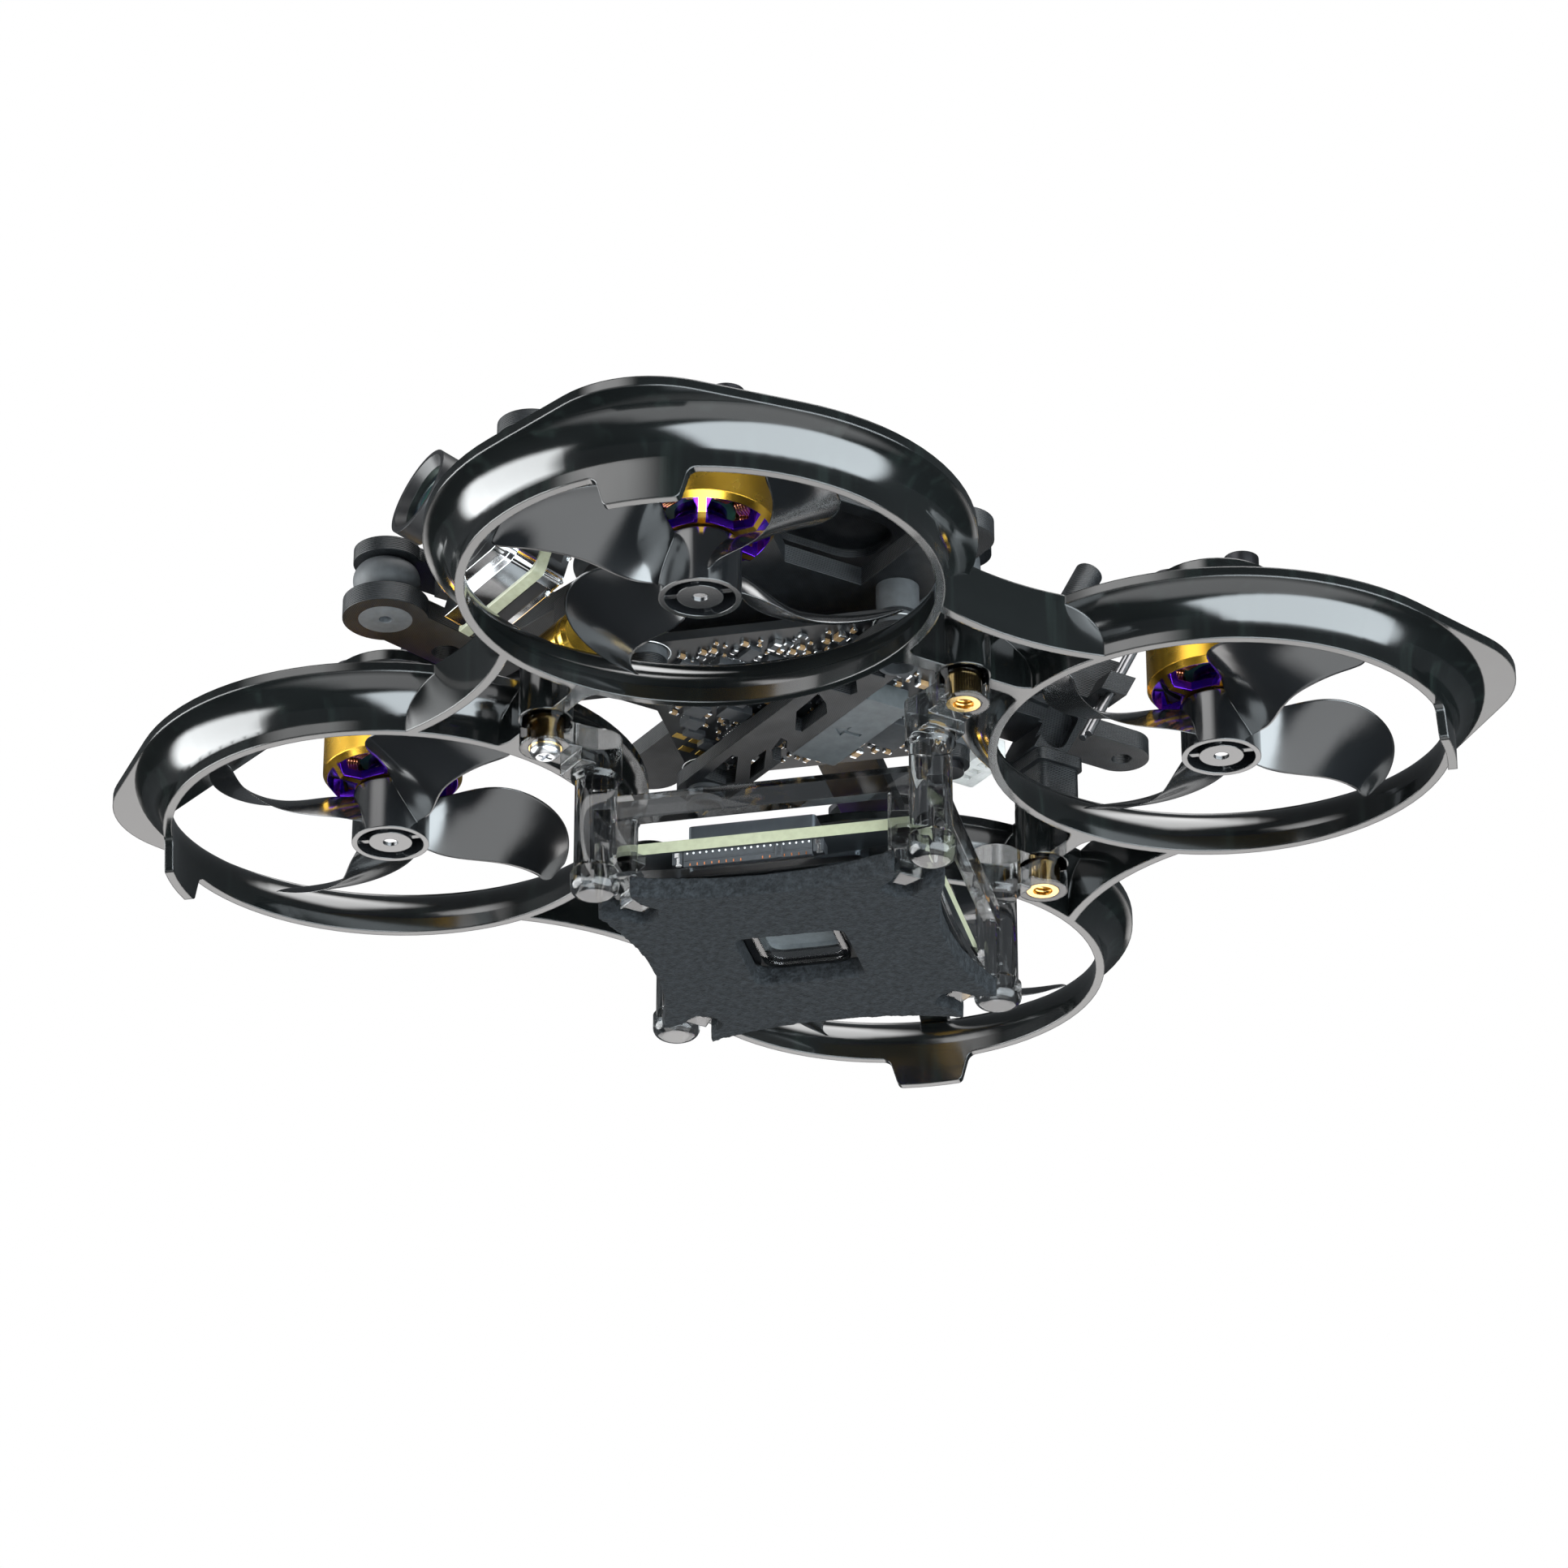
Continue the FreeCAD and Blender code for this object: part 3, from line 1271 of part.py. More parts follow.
def bracket_bobbins(low):
    """Ribbed rubber bobbins under the bracket's two holes, as outlines to revolve."""
    bobbins = []
    for number, side in enumerate((1, -1)):
        body = new_body("bobbin_%d" % number)
        wide, waist, step = 2.0, 1.7, 0.4
        outline = [(1.6, low)]
        for rib in range(3):
            base = low + 2 * rib * step
            outline += [(wide, base), (wide, base + step)]
            if rib < 2:
                outline += [(waist, base + step), (waist, base + 2 * step)]
        outline.append((1.6, low + 5 * step))
        revolve(body, "bobbin_turned_%d" % number, outline)
        bobbins.append(place(body, side * D["stack_offset"], 0))
    return bobbins


def stack_bracket():
    """The printed truss under the controller, with two spacer rings at its front and rear."""
    body = new_body("bracket_body")
    low, thick = D["bracket_low"], D["bracket_thick"]
    offset, half = D["stack_offset"], D["bracket_half"]
    pad(body, "bracket_x", thick, low, [capsule(-offset, 0, offset, 0, half)])
    rings = [(0, side * offset, 2.1) for side in (1, -1)]
    pad(body, "bracket_rings", thick, low, circles=rings)
    windows = [
        [(-15.6, -1.7), (-9.9, -1.9), (-9.9, -1.2), (-14.8, 1.5), (-15.6, 0.9)],
        [(-9.9, 0.4), (-7.0, 0.4), (-10.7, 2.4), (-13.4, 2.4)],
        [(-6.7, 0.9), (-4.0, 0.3), (-4.3, 1.2), (-6.1, 2.2), (-6.1, 3.4), (-8.4, 3.4), (-8.4, 2.1)],
        [(-1.8, 0.6), (1.6, -1.4), (6.0, -1.6), (4.6, 0.2), (2.9, 1.4), (-1.8, 1.4)],
        [(7.4, -1.2), (11.0, -2.0), (11.0, -0.4), (8.2, 1.6), (7.4, 1.3)],
        [(12.2, -0.2), (14.9, -1.7), (14.9, 0.9), (12.2, 2.2)],
    ]
    pocket(body, "bracket_windows", thick + 1.0, low + thick + 0.5, windows)
    holes = [(x, y, 0.95) for x, y in stack_points()]
    pocket(body, "bracket_holes", thick + 1.0, low + thick + 0.5, circles=holes)
    keep(body, "stack_bracket")


def direction_block():
    """The grey module beside the truss, with an arrow to the front sunk in its face."""
    body = new_body("block_body")
    low = 8.5
    pad(body, "block", D["board_low"] - low, low, [rounded(7.05, 2.55, 0.3, 0.2, 5.9)])
    arrow = [
        (-0.12, 7.2),
        (0.42, 7.2),
        (0.42, 5.4),
        (1.25, 5.4),
        (0.15, 4.1),
        (-0.95, 5.4),
        (-0.12, 5.4),
    ]
    pocket(body, "arrow", 0.2, low + 0.2, [arrow[::-1]])
    keep(body, "direction_block")


def capacitor():
    """The gold can under the front of the deck."""
    body = new_body("can_body")
    radius, half = 2.95, 4.5
    revolve(
        body,
        "can_turned",
        [
            (0, -half),
            (radius - 0.7, -half, 0.9),
            (radius, 0.8 - half),
            (radius, half - 1.6),
            (radius - 0.35, half - 1.3),
            (radius, half - 1.0),
            (radius, half - 0.4),
            (radius - 0.4, half),
            (0, half),
        ],
    )
    x, y, z = -2.5, -25.9, 9.62
    keep(body, "capacitor")
    place(body, x, y, D["rim_height"] + z, 90.0, (0, 1, 0))


# ---- Camera and its damped plate ---------------------------------------------------------------


def damper_points():
    """Centres of the three camera dampers."""
    x, y = D["camera_ear_x"], D["camera_ear_y"]
    return [(x, y), (-x, y), (0, D["third_ear_y"])]


def damper_inserts():
    """Grey discs pressed into the deck's damper ears."""
    body = new_body("damper_inserts_body")
    circles = []
    for number, (x, y) in enumerate(damper_points()):
        circles.append((x, y, 2.2 if number == 2 else 2.7))
        circles.append((x, y, 0.65))
    pad(body, "damper_discs", D["deck_thick"], D["deck_floor"], circles=circles)
    keep(body, "damper_inserts")


def damper_ball(name, x, y, wide, bend):
    """One rubber damper between the deck and the camera plate."""
    body = new_body("ball_" + name)
    low, high = D["deck_floor"] + D["deck_thick"], D["plate_floor"]
    revolve(
        body,
        "ball_turned_" + name,
        [
            (0.65, low),
            (wide, low),
            (wide, low + 0.4, bend),
            (wide, high),
            (0.65, high),
        ],
    )
    return place(body, x, y)


def damper_balls():
    """The three camera dampers and the plate's two rear cushions."""
    balls = []
    for number, (x, y) in enumerate(damper_points()):
        balls.append(damper_ball("camera_%d" % number, x, y, 2.0, D["ball_bend"]))
    for name, side in (("left", 1), ("right", -1)):
        x = side * D["rear_ball_x"]
        balls.append(damper_ball("rear_" + name, x, D["rear_ball_y"], 1.7, 9.0))
    keep(group("ball_group", balls), "damper_balls")


def camera_plate():
    """The floating plate over the deck: rear ears, front arms and the camera's two cheeks."""
    body = new_body("plate_body")
    z, thick = D["plate_floor"], D["plate_thick"]
    pad(body, "plate_middle", thick, z, [rounded(20.6, 12.6, 5.0, 0, -4.4)])
    ears = [(side * D["rear_ball_x"], D["rear_ball_y"], 3.0) for side in (1, -1)]
    ears += [(x, y, 3.4) for x, y in damper_points()]
    pad(body, "plate_ears", thick, z, circles=ears)
    x, y = D["camera_ear_x"], D["camera_ear_y"]
    for name, side in (("left", 1), ("right", -1)):
        arm = capsule(side * x, y, side * 15.6, -12.0, 2.6)
        pad(body, "plate_arm_" + name, thick, z, [arm])
    pad(body, "plate_tongue", thick, z, [capsule(0, D["third_ear_y"], 0, -12.0, 2.8)])
    pivot_y, pivot_z = tilt_screw_point()
    for name, low, high in (("left", 7.9, 9.7), ("right", -9.7, -7.9)):
        cheek = rectangle(low, pivot_y - 2.4, high, pivot_y + 2.4)
        tall = z + thick - pivot_z + 2.4
        pad(body, "cheek_" + name, tall, pivot_z - 2.4, [cheek])
    pad(body, "cheek_tie_left", thick, z, [rectangle(7.9, pivot_y - 2.4, 13.5, pivot_y + 2.4)])
    pad(body, "cheek_tie_right", thick, z, [rectangle(-13.5, pivot_y - 2.4, -7.9, pivot_y + 2.4)])
    hollows = [rounded(3.9, 6.0, 3.4, side * 15.0, -5.6) for side in (1, -1)]
    pocket(body, "plate_hollows", 0.9, z + 0.9, hollows)
    pins = [(side * D["rear_ball_x"], D["rear_ball_y"], 0.65) for side in (1, -1)]
    pins += [(px, py, 0.65) for px, py in damper_points()]
    pocket(body, "plate_holes", thick + 1.0, z + thick + 0.5, circles=pins)
    hole = cylinder("cheek_holes", 0.8, 24.0, -12.0, pivot_y, pivot_z, 90.0, (0, 1, 0))
    keep(cut("plate_cut", body, hole), "camera_plate")


def camera_pivot():
    """Y and height of the housing's middle."""
    tilt = math.radians(D["camera_tilt"].value)
    back = D["pivot_back"]
    return D["lens_y"] + back * math.cos(tilt), D["lens_z"] - back * math.sin(tilt)


def tilt_screw_point():
    """Y and height of the tilt screws, a little in front of the housing's middle."""
    tilt = math.radians(D["camera_tilt"].value)
    y, z = camera_pivot()
    return y - D["screw_ahead"] * math.cos(tilt), z + D["screw_ahead"] * math.sin(tilt)


def keep_camera(thing, label):
    """Puts a camera piece, drawn level about the housing's middle, at its tilt in the drone."""
    y, z = camera_pivot()
    thing.Label = label
    place(thing, 0, y, D["rim_height"] + z, D["camera_tilt"].value, (-1, 0, 0))
    bind(thing, "Placement.Rotation.Angle", D["camera_tilt"])
    SUB_PARTS.append(thing)


def camera():
    """Metal housing, board, rear shield, barrel and lens of the camera."""
    half, tall = D["camera_half"], D["camera_tall"]
    housing = new_body("housing_body")
    front, back = -1.8, 0.4
    for name, x, height, low, high in (
        ("wide", half, tall, front, back),
        ("nose", half - 1.6, tall - 1.4, front - 1.6, front),
    ):
        sketch = new_sketch(housing, "housing_%s_sketch" % name, "XZ_Plane", -high)
        add_outline(sketch, rounded(x, height, 1.2))
        feature = housing.newObject("PartDesign::Pad", "housing_" + name)
        feature.Profile = sketch
        feature.Length = high - low
    threads = cylinder("housing_threads", 0.75, 17.0, -8.5, -D["screw_ahead"], 0, 90.0, (0, 1, 0))
    keep_camera(cut("housing_cut", housing, threads), "camera_housing")
    plates = (("camera_board", half + 0.2, tall + 0.3, back, back + 1.1),
              ("camera_shield", half - 0.3, tall - 0.2, back + 1.1, back + 3.3))
    for label, x, height, low, high in plates:
        body = new_body(label + "_body")
        sketch = new_sketch(body, label + "_sketch", "XZ_Plane", -high)
        add_outline(sketch, rounded(x, height, 0.8))
        feature = body.newObject("PartDesign::Pad", label + "_pad")
        feature.Profile = sketch
        feature.Length = high - low
        keep_camera(body, label)
    lens_parts(front - 1.6)


def lens_parts(nose):
    """The turned barrel and the lens glass, on the camera's optical axis."""
    rim, radius = -D["pivot_back"].value, D["barrel_radius"]
    barrel = new_body("barrel_body")
    revolve_lengthwise(
        barrel,
        "barrel_turned",
        [
            (0, nose),
            (0, rim + 1.9),
            (3.4, rim + 1.9),
            (3.4, rim + 0.9),
            (4.1, rim),
            (radius, rim),
            (radius, rim + 2.6),
            (radius - 0.5, rim + 2.9),
            (radius - 0.5, nose),
        ],
    )
    keep_camera(barrel, "camera_barrel")
    glass = new_body("glass_body")
    dome = [(0, rim + 1.9), (3.35, rim + 1.9), (3.35, rim + 1.5), (0, rim + 0.7)]
    revolve_lengthwise(glass, "glass_turned", dome)
    keep_camera(glass, "camera_lens")


def revolve_lengthwise(body, name, points):
    """A full turn about Y of an outline of (radius, y) points."""
    sketch = new_sketch(body, name + "_sketch", "XY_Plane")
    add_outline(sketch, points)
    feature = body.newObject("PartDesign::Revolution", name)
    feature.Profile = sketch
    feature.ReferenceAxis = (sketch, ["V_Axis"])
    feature.Angle = 360.0
    return feature


def camera_screws():
    """The two tilt screws through the plate's cheeks."""
    y, z = tilt_screw_point()
    pieces = []
    for name, shank, head in (("left", 5.6, 9.75), ("right", -9.75, -10.85)):
        rod = cylinder("tilt_rod_" + name, 0.7, 4.15, shank, y, z, 90.0, (0, 1, 0))
        cap = cylinder("tilt_cap_" + name, 1.4, 1.1, head, y, z, 90.0, (0, 1, 0))
        pieces.append(fuse("tilt_screw_" + name, [rod, cap]))
    keep(group("tilt_screws", pieces), "camera_screws")


# ---- Rear --------------------------------------------------------------------------------------


def antenna_mount():
    """The printed column between the frame's rear boss and the deck's wedge."""
    body = new_body("column_body")
    low, high = D["duct_height"], D["wedge_low"]
    pad(body, "column", high - low, low, [rounded(2.8, 2.4, 0.8, 0.6, 29.6)])
    pad(body, "collar", 1.3, high - 1.3, [rounded(3.3, 2.8, 0.8, 0.6, 29.4)])
    screw_way = [(0, D["ear_offset"], D["insert_hole"] + 0.3)]
    pocket(body, "column_screw", 4.0, low + 3.5, circles=screw_way)
    keep(body, "antenna_mount")


def antenna_rod(name, radius, length, x, y, z):
    """A round rod that leans back from x, y, z."""
    return cylinder(name, radius, length, x, y, z, -D["antenna_lean"].value, (1, 0, 0))


def antennas():
    """The antenna sleeve and the two thin rods beside it."""
    sleeve = antenna_rod("sleeve", D["sleeve_radius"], 18.3, *SLEEVE_START)
    keep(group("sleeve_group", [sleeve]), "antenna_tube")
    rods = []
    for number, start in enumerate(ROD_STARTS):
        rods.append(antenna_rod("rod_%d" % number, D["rod_radius"], 14.0, *start))
    keep(group("rod_group", rods), "antenna_leads")


def rear_connector():
    """The white connector in front of the column."""
    body = new_body("connector_body")
    x, y, low, tall = -2.4, 22.88, 9.9, 2.6
    pad(body, "connector", tall, low, [rounded(3.2, 1.7, 0.3, x, y)])
    slots = [rectangle(x + n * 1.5 - 0.4, y - 0.6, x + n * 1.5 + 0.4, y + 0.5) for n in (-1, 0, 1)]
    pocket(body, "connector_slots", 1.2, low + 1.2, slots)
    keep(body, "rear_connector")


def build_all():
    """Builds every sub-part."""
    duct_frame()
    motor_deck()
    for label in MOTORS:
        motor_base(label)
        stator(label)
        bell(label)
        magnet_ring(label)
        shaft(label)
        propeller(label)
    motor_bearings()
    motor_screws()
    cage()
    cage_inserts()
    cage_screw()
    foam_pad()
    pad_bezel()
    pad_button()
    air_unit()
    flight_controller()
    fc_components()
    fc_grommets()
    fc_screws()
    stack_bracket()
    direction_block()
    capacitor()
    damper_inserts()
    damper_balls()
    camera_plate()
    camera()
    camera_screws()
    antenna_mount()
    antennas()
    rear_connector()


def check_document():
    """Stops when an object failed or a sub-part has no valid solid."""
    failed = [o.Name for o in DOC.Objects if set(o.State) & {"Invalid", "Error"}]
    if failed:
        raise RuntimeError("failed objects: %s" % failed)
    for thing in SUB_PARTS:
        shape = thing.Shape
        if shape.isNull() or not shape.isValid() or not shape.Solids:
            raise RuntimeError("%s has no valid solid" % thing.Label)


def export_all():
    """Writes one STEP file for each sub-part."""
    os.makedirs("parts", exist_ok=True)
    for thing in SUB_PARTS:
        thing.Shape.exportStep(os.path.join("parts", thing.Label + ".step"))
        print("%-28s solids %2d  volume %9.2f" % (thing.Label, len(thing.Shape.Solids), thing.Shape.Volume))


build_all()
DOC.recompute()
check_document()
export_all()
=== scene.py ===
import math
import random

import bmesh
import bpy
from mathutils import Matrix, Vector, noise

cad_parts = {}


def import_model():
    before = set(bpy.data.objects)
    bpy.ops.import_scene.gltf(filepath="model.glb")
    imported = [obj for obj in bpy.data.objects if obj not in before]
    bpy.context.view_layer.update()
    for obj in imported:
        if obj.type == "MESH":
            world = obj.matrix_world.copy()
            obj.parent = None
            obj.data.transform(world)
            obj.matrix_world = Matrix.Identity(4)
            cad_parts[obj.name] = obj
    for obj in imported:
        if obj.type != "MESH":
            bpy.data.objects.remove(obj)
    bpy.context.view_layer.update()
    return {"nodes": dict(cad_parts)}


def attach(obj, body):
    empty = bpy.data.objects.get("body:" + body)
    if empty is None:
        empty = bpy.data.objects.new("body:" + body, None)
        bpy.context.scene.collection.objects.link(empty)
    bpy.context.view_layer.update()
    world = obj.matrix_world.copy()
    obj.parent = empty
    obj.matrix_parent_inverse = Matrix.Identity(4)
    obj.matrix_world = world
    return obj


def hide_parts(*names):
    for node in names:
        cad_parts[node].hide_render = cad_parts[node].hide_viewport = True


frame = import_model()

NODES = frame["nodes"]
MM = 0.001  # metres in a millimetre
RIM = 18.2  # height of the ducts' lower rims above the landing pad's face, mm
MOTORS = {  # X and Y of each motor's axis, mm
    "front_left": (30.05, -30.05),
    "front_right": (-30.05, -30.05),
    "rear_left": (30.05, 30.05),
    "rear_right": (-30.05, 30.05),
}
BOARD_TURN = math.radians(45)  # the air unit's board lies across the drone's diagonal
WAVE_PERIOD = 0.314  # length of one band of a wave texture at scale 1
BEVEL_SAMPLES = 6
BLACK, WHITE = (0, 0, 0), (1, 1, 1)


# ---- Materials ------------------------------------------------------------------------------


def colour_sockets(sockets):
    """The colour sockets of a Mix node, which also has hidden ones of other types."""
    return [socket for socket in sockets if socket.type == "RGBA"]


class Maker:
    """Builds one node material around a Principled shader."""

    def __init__(self, name):
        self.mat = bpy.data.materials.new(name)
        self.mat.use_nodes = True
        self.tree = self.mat.node_tree
        self.shader = self.tree.nodes["Principled BSDF"]
        self.coords = self.add("ShaderNodeTexCoord").outputs["Object"]

    def add(self, kind, **values):
        node = self.tree.nodes.new(kind)
        for key, value in values.items():
            setattr(node, key, value)
        return node

    def link(self, out, socket):
        self.tree.links.new(out, socket)

    def set(self, **values):
        for key, value in values.items():
            self.shader.inputs[key.replace("_", " ")].default_value = value
        return self

    def noise(self, scale, detail=3.0, rough=0.5, coords=None):
        node = self.add("ShaderNodeTexNoise")
        node.inputs["Scale"].default_value = scale
        node.inputs["Detail"].default_value = detail
        node.inputs["Roughness"].default_value = rough
        self.link(coords or self.coords, node.inputs["Vector"])
        return node.outputs["Fac"]

    def ramp(self, fac, stops):
        node = self.add("ShaderNodeValToRGB")
        elements = node.color_ramp.elements
        while len(elements) < len(stops):
            elements.new(0.5)
        for element, (place, colour) in zip(elements, stops):
            element.position = place
            element.color = (*colour, 1.0)
        self.link(fac, node.inputs["Fac"])
        return node.outputs["Color"]

    def span(self, fac, low, high):
        node = self.add("ShaderNodeMapRange")
        node.inputs["To Min"].default_value = low
        node.inputs["To Max"].default_value = high
        self.link(fac, node.inputs["Value"])
        return node.outputs["Result"]

    def math(self, kind, first, second):
        node = self.add("ShaderNodeMath", operation=kind)
        for socket, value in zip(node.inputs, (first, second)):
            if isinstance(value, (int, float)):
                socket.default_value = value
            else:
                self.link(value, socket)
        return node.outputs["Value"]

    def mix(self, fac, first, second):
        node = self.add("ShaderNodeMix", data_type="RGBA")
        self.link(fac, node.inputs["Factor"])
        for socket, value in zip(colour_sockets(node.inputs), (first, second)):
            if isinstance(value, tuple):
                socket.default_value = (*value, 1.0)
            else:
                self.link(value, socket)
        return colour_sockets(node.outputs)[0]

    def bump(self, height, strength, distance, edge=0.0):
        node = self.add("ShaderNodeBump")
        node.inputs["Strength"].default_value = strength
        node.inputs["Distance"].default_value = distance * MM
        self.link(height, node.inputs["Height"])
        if edge:
            self.link(self.bevel(edge), node.inputs["Normal"])
        self.link(node.outputs["Normal"], self.shader.inputs["Normal"])
        return self

    def stretched(self, x, y, z):
        """Object coordinates scaled along each axis, for streaks and layers."""
        node = self.add("ShaderNodeMapping")
        node.inputs["Scale"].default_value = (x, y, z)
        self.link(self.coords, node.inputs["Vector"])
        return node.outputs["Vector"]

    def axis(self, name, source="Object"):
        """One component of the object position or of the object normal."""
        coords = self.add("ShaderNodeTexCoord")
        split = self.add("ShaderNodeSeparateXYZ")
        self.link(coords.outputs[source], split.inputs["Vector"])
        return split.outputs[name]

    def level(self, limit=0.7):
        """1 on faces that look straight up or down, 0 on the others."""
        return self.math("GREATER_THAN", self.math("ABSOLUTE", self.axis("Z", "Normal"), 0.0), limit)

    def around(self, x, y):
        """X and Y measured from an upright axis in millimetres, and their squared distance."""
        dx = self.math("SUBTRACT", self.axis("X"), x * MM)
        dy = self.math("SUBTRACT", self.axis("Y"), y * MM)
        square = self.math("ADD", self.math("MULTIPLY", dx, dx), self.math("MULTIPLY", dy, dy))
        return dx, dy, square

    def bands(self, direction, pitch, distortion=0.25):
        """Parallel ridges across the given axis, pitch in millimetres."""
        wave = self.add("ShaderNodeTexWave", wave_type="BANDS", bands_direction=direction)
        wave.inputs["Scale"].default_value = WAVE_PERIOD / (pitch * MM)
        wave.inputs["Distortion"].default_value = distortion
        wave.inputs["Detail"].default_value = 1.0
        self.link(self.coords, wave.inputs["Vector"])
        return wave.outputs["Fac"]

    def bevel(self, radius):
        node = self.add("ShaderNodeBevel", samples=BEVEL_SAMPLES)
        node.inputs["Radius"].default_value = radius * MM
        return node.outputs["Normal"]

    def edge(self, radius):
        self.link(self.bevel(radius), self.shader.inputs["Normal"])
        return self


def smoked(name, colour, ior, rough, edge, streak=0.0):
    """Glossy near-black moulded plastic, with faint greenish flow streaks and rounded edges."""
    m = Maker(name)
    dark = tuple(c * 0.6 for c in colour)
    base = m.ramp(m.noise(90.0, 3.0), [(0.35, dark), (0.65, colour)])
    if streak:
        flow = m.noise(1.0, 4.0, 0.6, m.stretched(420.0, 420.0, 25.0))
        streaks = m.span(m.ramp(flow, [(0.55, BLACK), (0.75, WHITE)]), 0, 1)
        greenish = (0.05, 0.075, 0.065)
        base = m.mix(m.math("MULTIPLY", streaks, streak), base, greenish)
    m.link(base, m.shader.inputs["Base Color"])
    m.link(m.span(m.noise(60.0, 4.0), rough * 0.7, rough * 1.4), m.shader.inputs["Roughness"])
    m.set(IOR=ior, Coat_Weight=0.25, Coat_Roughness=0.04)
    m.edge(edge)
    return m.mat


def clear(name, colour, ior, rough, edge):
    """Clear smoked polycarbonate with a glossy coat that catches light on its rounded edges."""
    m = Maker(name)
    m.set(Transmission_Weight=1.0, IOR=ior, Coat_Weight=1.0, Coat_Roughness=0.03)
    tint = tuple(min(1.0, c * 1.08) for c in colour)
    m.link(m.ramp(m.noise(120.0, 2.0), [(0.3, colour), (0.7, tint)]), m.shader.inputs["Base Color"])
    m.link(m.span(m.noise(40.0, 3.0), rough * 0.5, rough * 1.5), m.shader.inputs["Roughness"])
    m.link(m.bevel(edge), m.shader.inputs["Coat Normal"])
    return m.mat


def printed(name, colour, rough=0.42, layer=0.2):
    """Printed plastic: stacked layers on the sides and a fine raster on the level faces."""
    m = Maker(name)
    layers = m.bands("Z", layer)
    raster = m.bands("DIAGONAL", 0.13, 0.1)
    level = m.level()
    fac = m.noise(700.0, 4.0)
    light = tuple(c * 1.7 + 0.003 for c in colour)
    m.link(m.ramp(fac, [(0.35, colour), (0.7, light)]), m.shader.inputs["Base Color"])
    m.link(m.span(m.noise(300.0, 3.0), rough - 0.1, rough + 0.12), m.shader.inputs["Roughness"])
    sides = m.math("MULTIPLY", layers, m.math("SUBTRACT", 1.0, level))
    flats = m.math("MULTIPLY", m.math("MULTIPLY", raster, 0.22), level)
    both = m.math("ADD", m.math("ADD", sides, flats), m.math("MULTIPLY", fac, 0.2))
    m.set(IOR=1.38)
    m.bump(both, 0.7, 0.07, 0.1)
    return m.mat


def laminate(name, edge_colour, face_colour):
    """Circuit board: bare laminate on the cut edges and solder mask on both faces."""
    m = Maker(name)
    fac = m.noise(1500.0, 4.0)
    low = tuple(c * 0.85 for c in edge_colour)
    base = m.mix(m.level(), m.ramp(fac, [(0.3, low), (0.7, edge_colour)]), face_colour)
    m.link(base, m.shader.inputs["Base Color"])
    m.link(m.span(m.noise(500.0, 3.0), 0.3, 0.48), m.shader.inputs["Roughness"])
    traces = m.math("GREATER_THAN", m.noise(260.0, 1.0), 0.52)
    m.bump(m.math("ADD", m.math("MULTIPLY", traces, 0.5), fac), 0.12, 0.03, 0.05)
    return m.mat


def camera_laminate(name):
    """The camera's board, which shows its pale cut edge all round."""
    m = Maker(name)
    fac = m.noise(1500.0, 4.0)
    base = m.ramp(fac, [(0.3, (0.27, 0.28, 0.19)), (0.7, (0.34, 0.35, 0.25))])
    m.link(base, m.shader.inputs["Base Color"])
    m.link(m.span(fac, 0.4, 0.6), m.shader.inputs["Roughness"])
    m.bump(m.bands("Y", 0.14), 0.15, 0.03, 0.05)
    return m.mat


def wound(name, x, y):
    """Stator: green coated laminations at the hub and the tooth tips, copper between them."""
    m = Maker(name)
    tips_from, hub_to = 4.92, 3.4
    _dx, _dy, square = m.around(x, y)
    radius = m.math("SQRT", square, 0.0)
    tips = m.math("GREATER_THAN", radius, tips_from * MM)
    core = m.math("MAXIMUM", tips, m.math("LESS_THAN", radius, hub_to * MM))
    fac = m.noise(900.0, 4.0)
    copper = m.ramp(fac, [(0.3, (0.42, 0.17, 0.08)), (0.7, (0.6, 0.28, 0.14))])
    m.link(m.mix(core, copper, (0.012, 0.05, 0.03)), m.shader.inputs["Base Color"])
    m.link(m.math("SUBTRACT", 1.0, core), m.shader.inputs["Metallic"])
    m.link(m.span(fac, 0.25, 0.4), m.shader.inputs["Roughness"])
    m.bump(m.bands("Z", 0.35, 0.0), 0.3, 0.04)
    return m.mat


def lens(name):
    """Coated glass: near black, with a painted green reflection of the coating in the middle, where
    the glass faces the viewer.
    """
    m = Maker(name)
    # Painted reflection: the base colour is green where the glass faces the viewer and near black
    # towards its rim.
    facing = m.add("ShaderNodeLayerWeight")
    facing.inputs["Blend"].default_value = 0.35
    base = m.ramp(facing.outputs["Facing"], [(0.1, (0.01, 0.11, 0.05)), (0.6, (0.01, 0.012, 0.03))])
    m.link(base, m.shader.inputs["Base Color"])
    m.link(m.span(m.noise(80.0, 2.0), 0.02, 0.05), m.shader.inputs["Roughness"])
    m.set(IOR=1.9, Coat_Weight=1.0, Coat_Roughness=0.02, Coat_Tint=(0.7, 1.0, 0.85, 1.0))
    return m.mat


def foam(name):
    """Closed-cell foam with torn pores and a skin that is paler where it stands higher."""
    m = Maker(name)
    cells = m.add("ShaderNodeTexVoronoi")
    cells.inputs["Scale"].default_value = 3600.0
    m.link(m.coords, cells.inputs["Vector"])
    coarse = m.noise(1500.0, 5.0, 0.7)
    height = m.math("ADD", m.math("MULTIPLY", cells.outputs["Distance"], 0.8), coarse)
    # The colour follows the same noise as the height: paler on the raised parts, darker in the
    # hollows.
    shade = m.ramp(coarse, [(0.38, (0.004, 0.005, 0.006)), (0.66, (0.02, 0.023, 0.026))])
    m.link(shade, m.shader.inputs["Base Color"])
    m.link(m.span(coarse, 0.75, 0.95), m.shader.inputs["Roughness"])
    m.set(IOR=1.3)
    m.bump(height, 0.9, 0.14)
    return m.mat


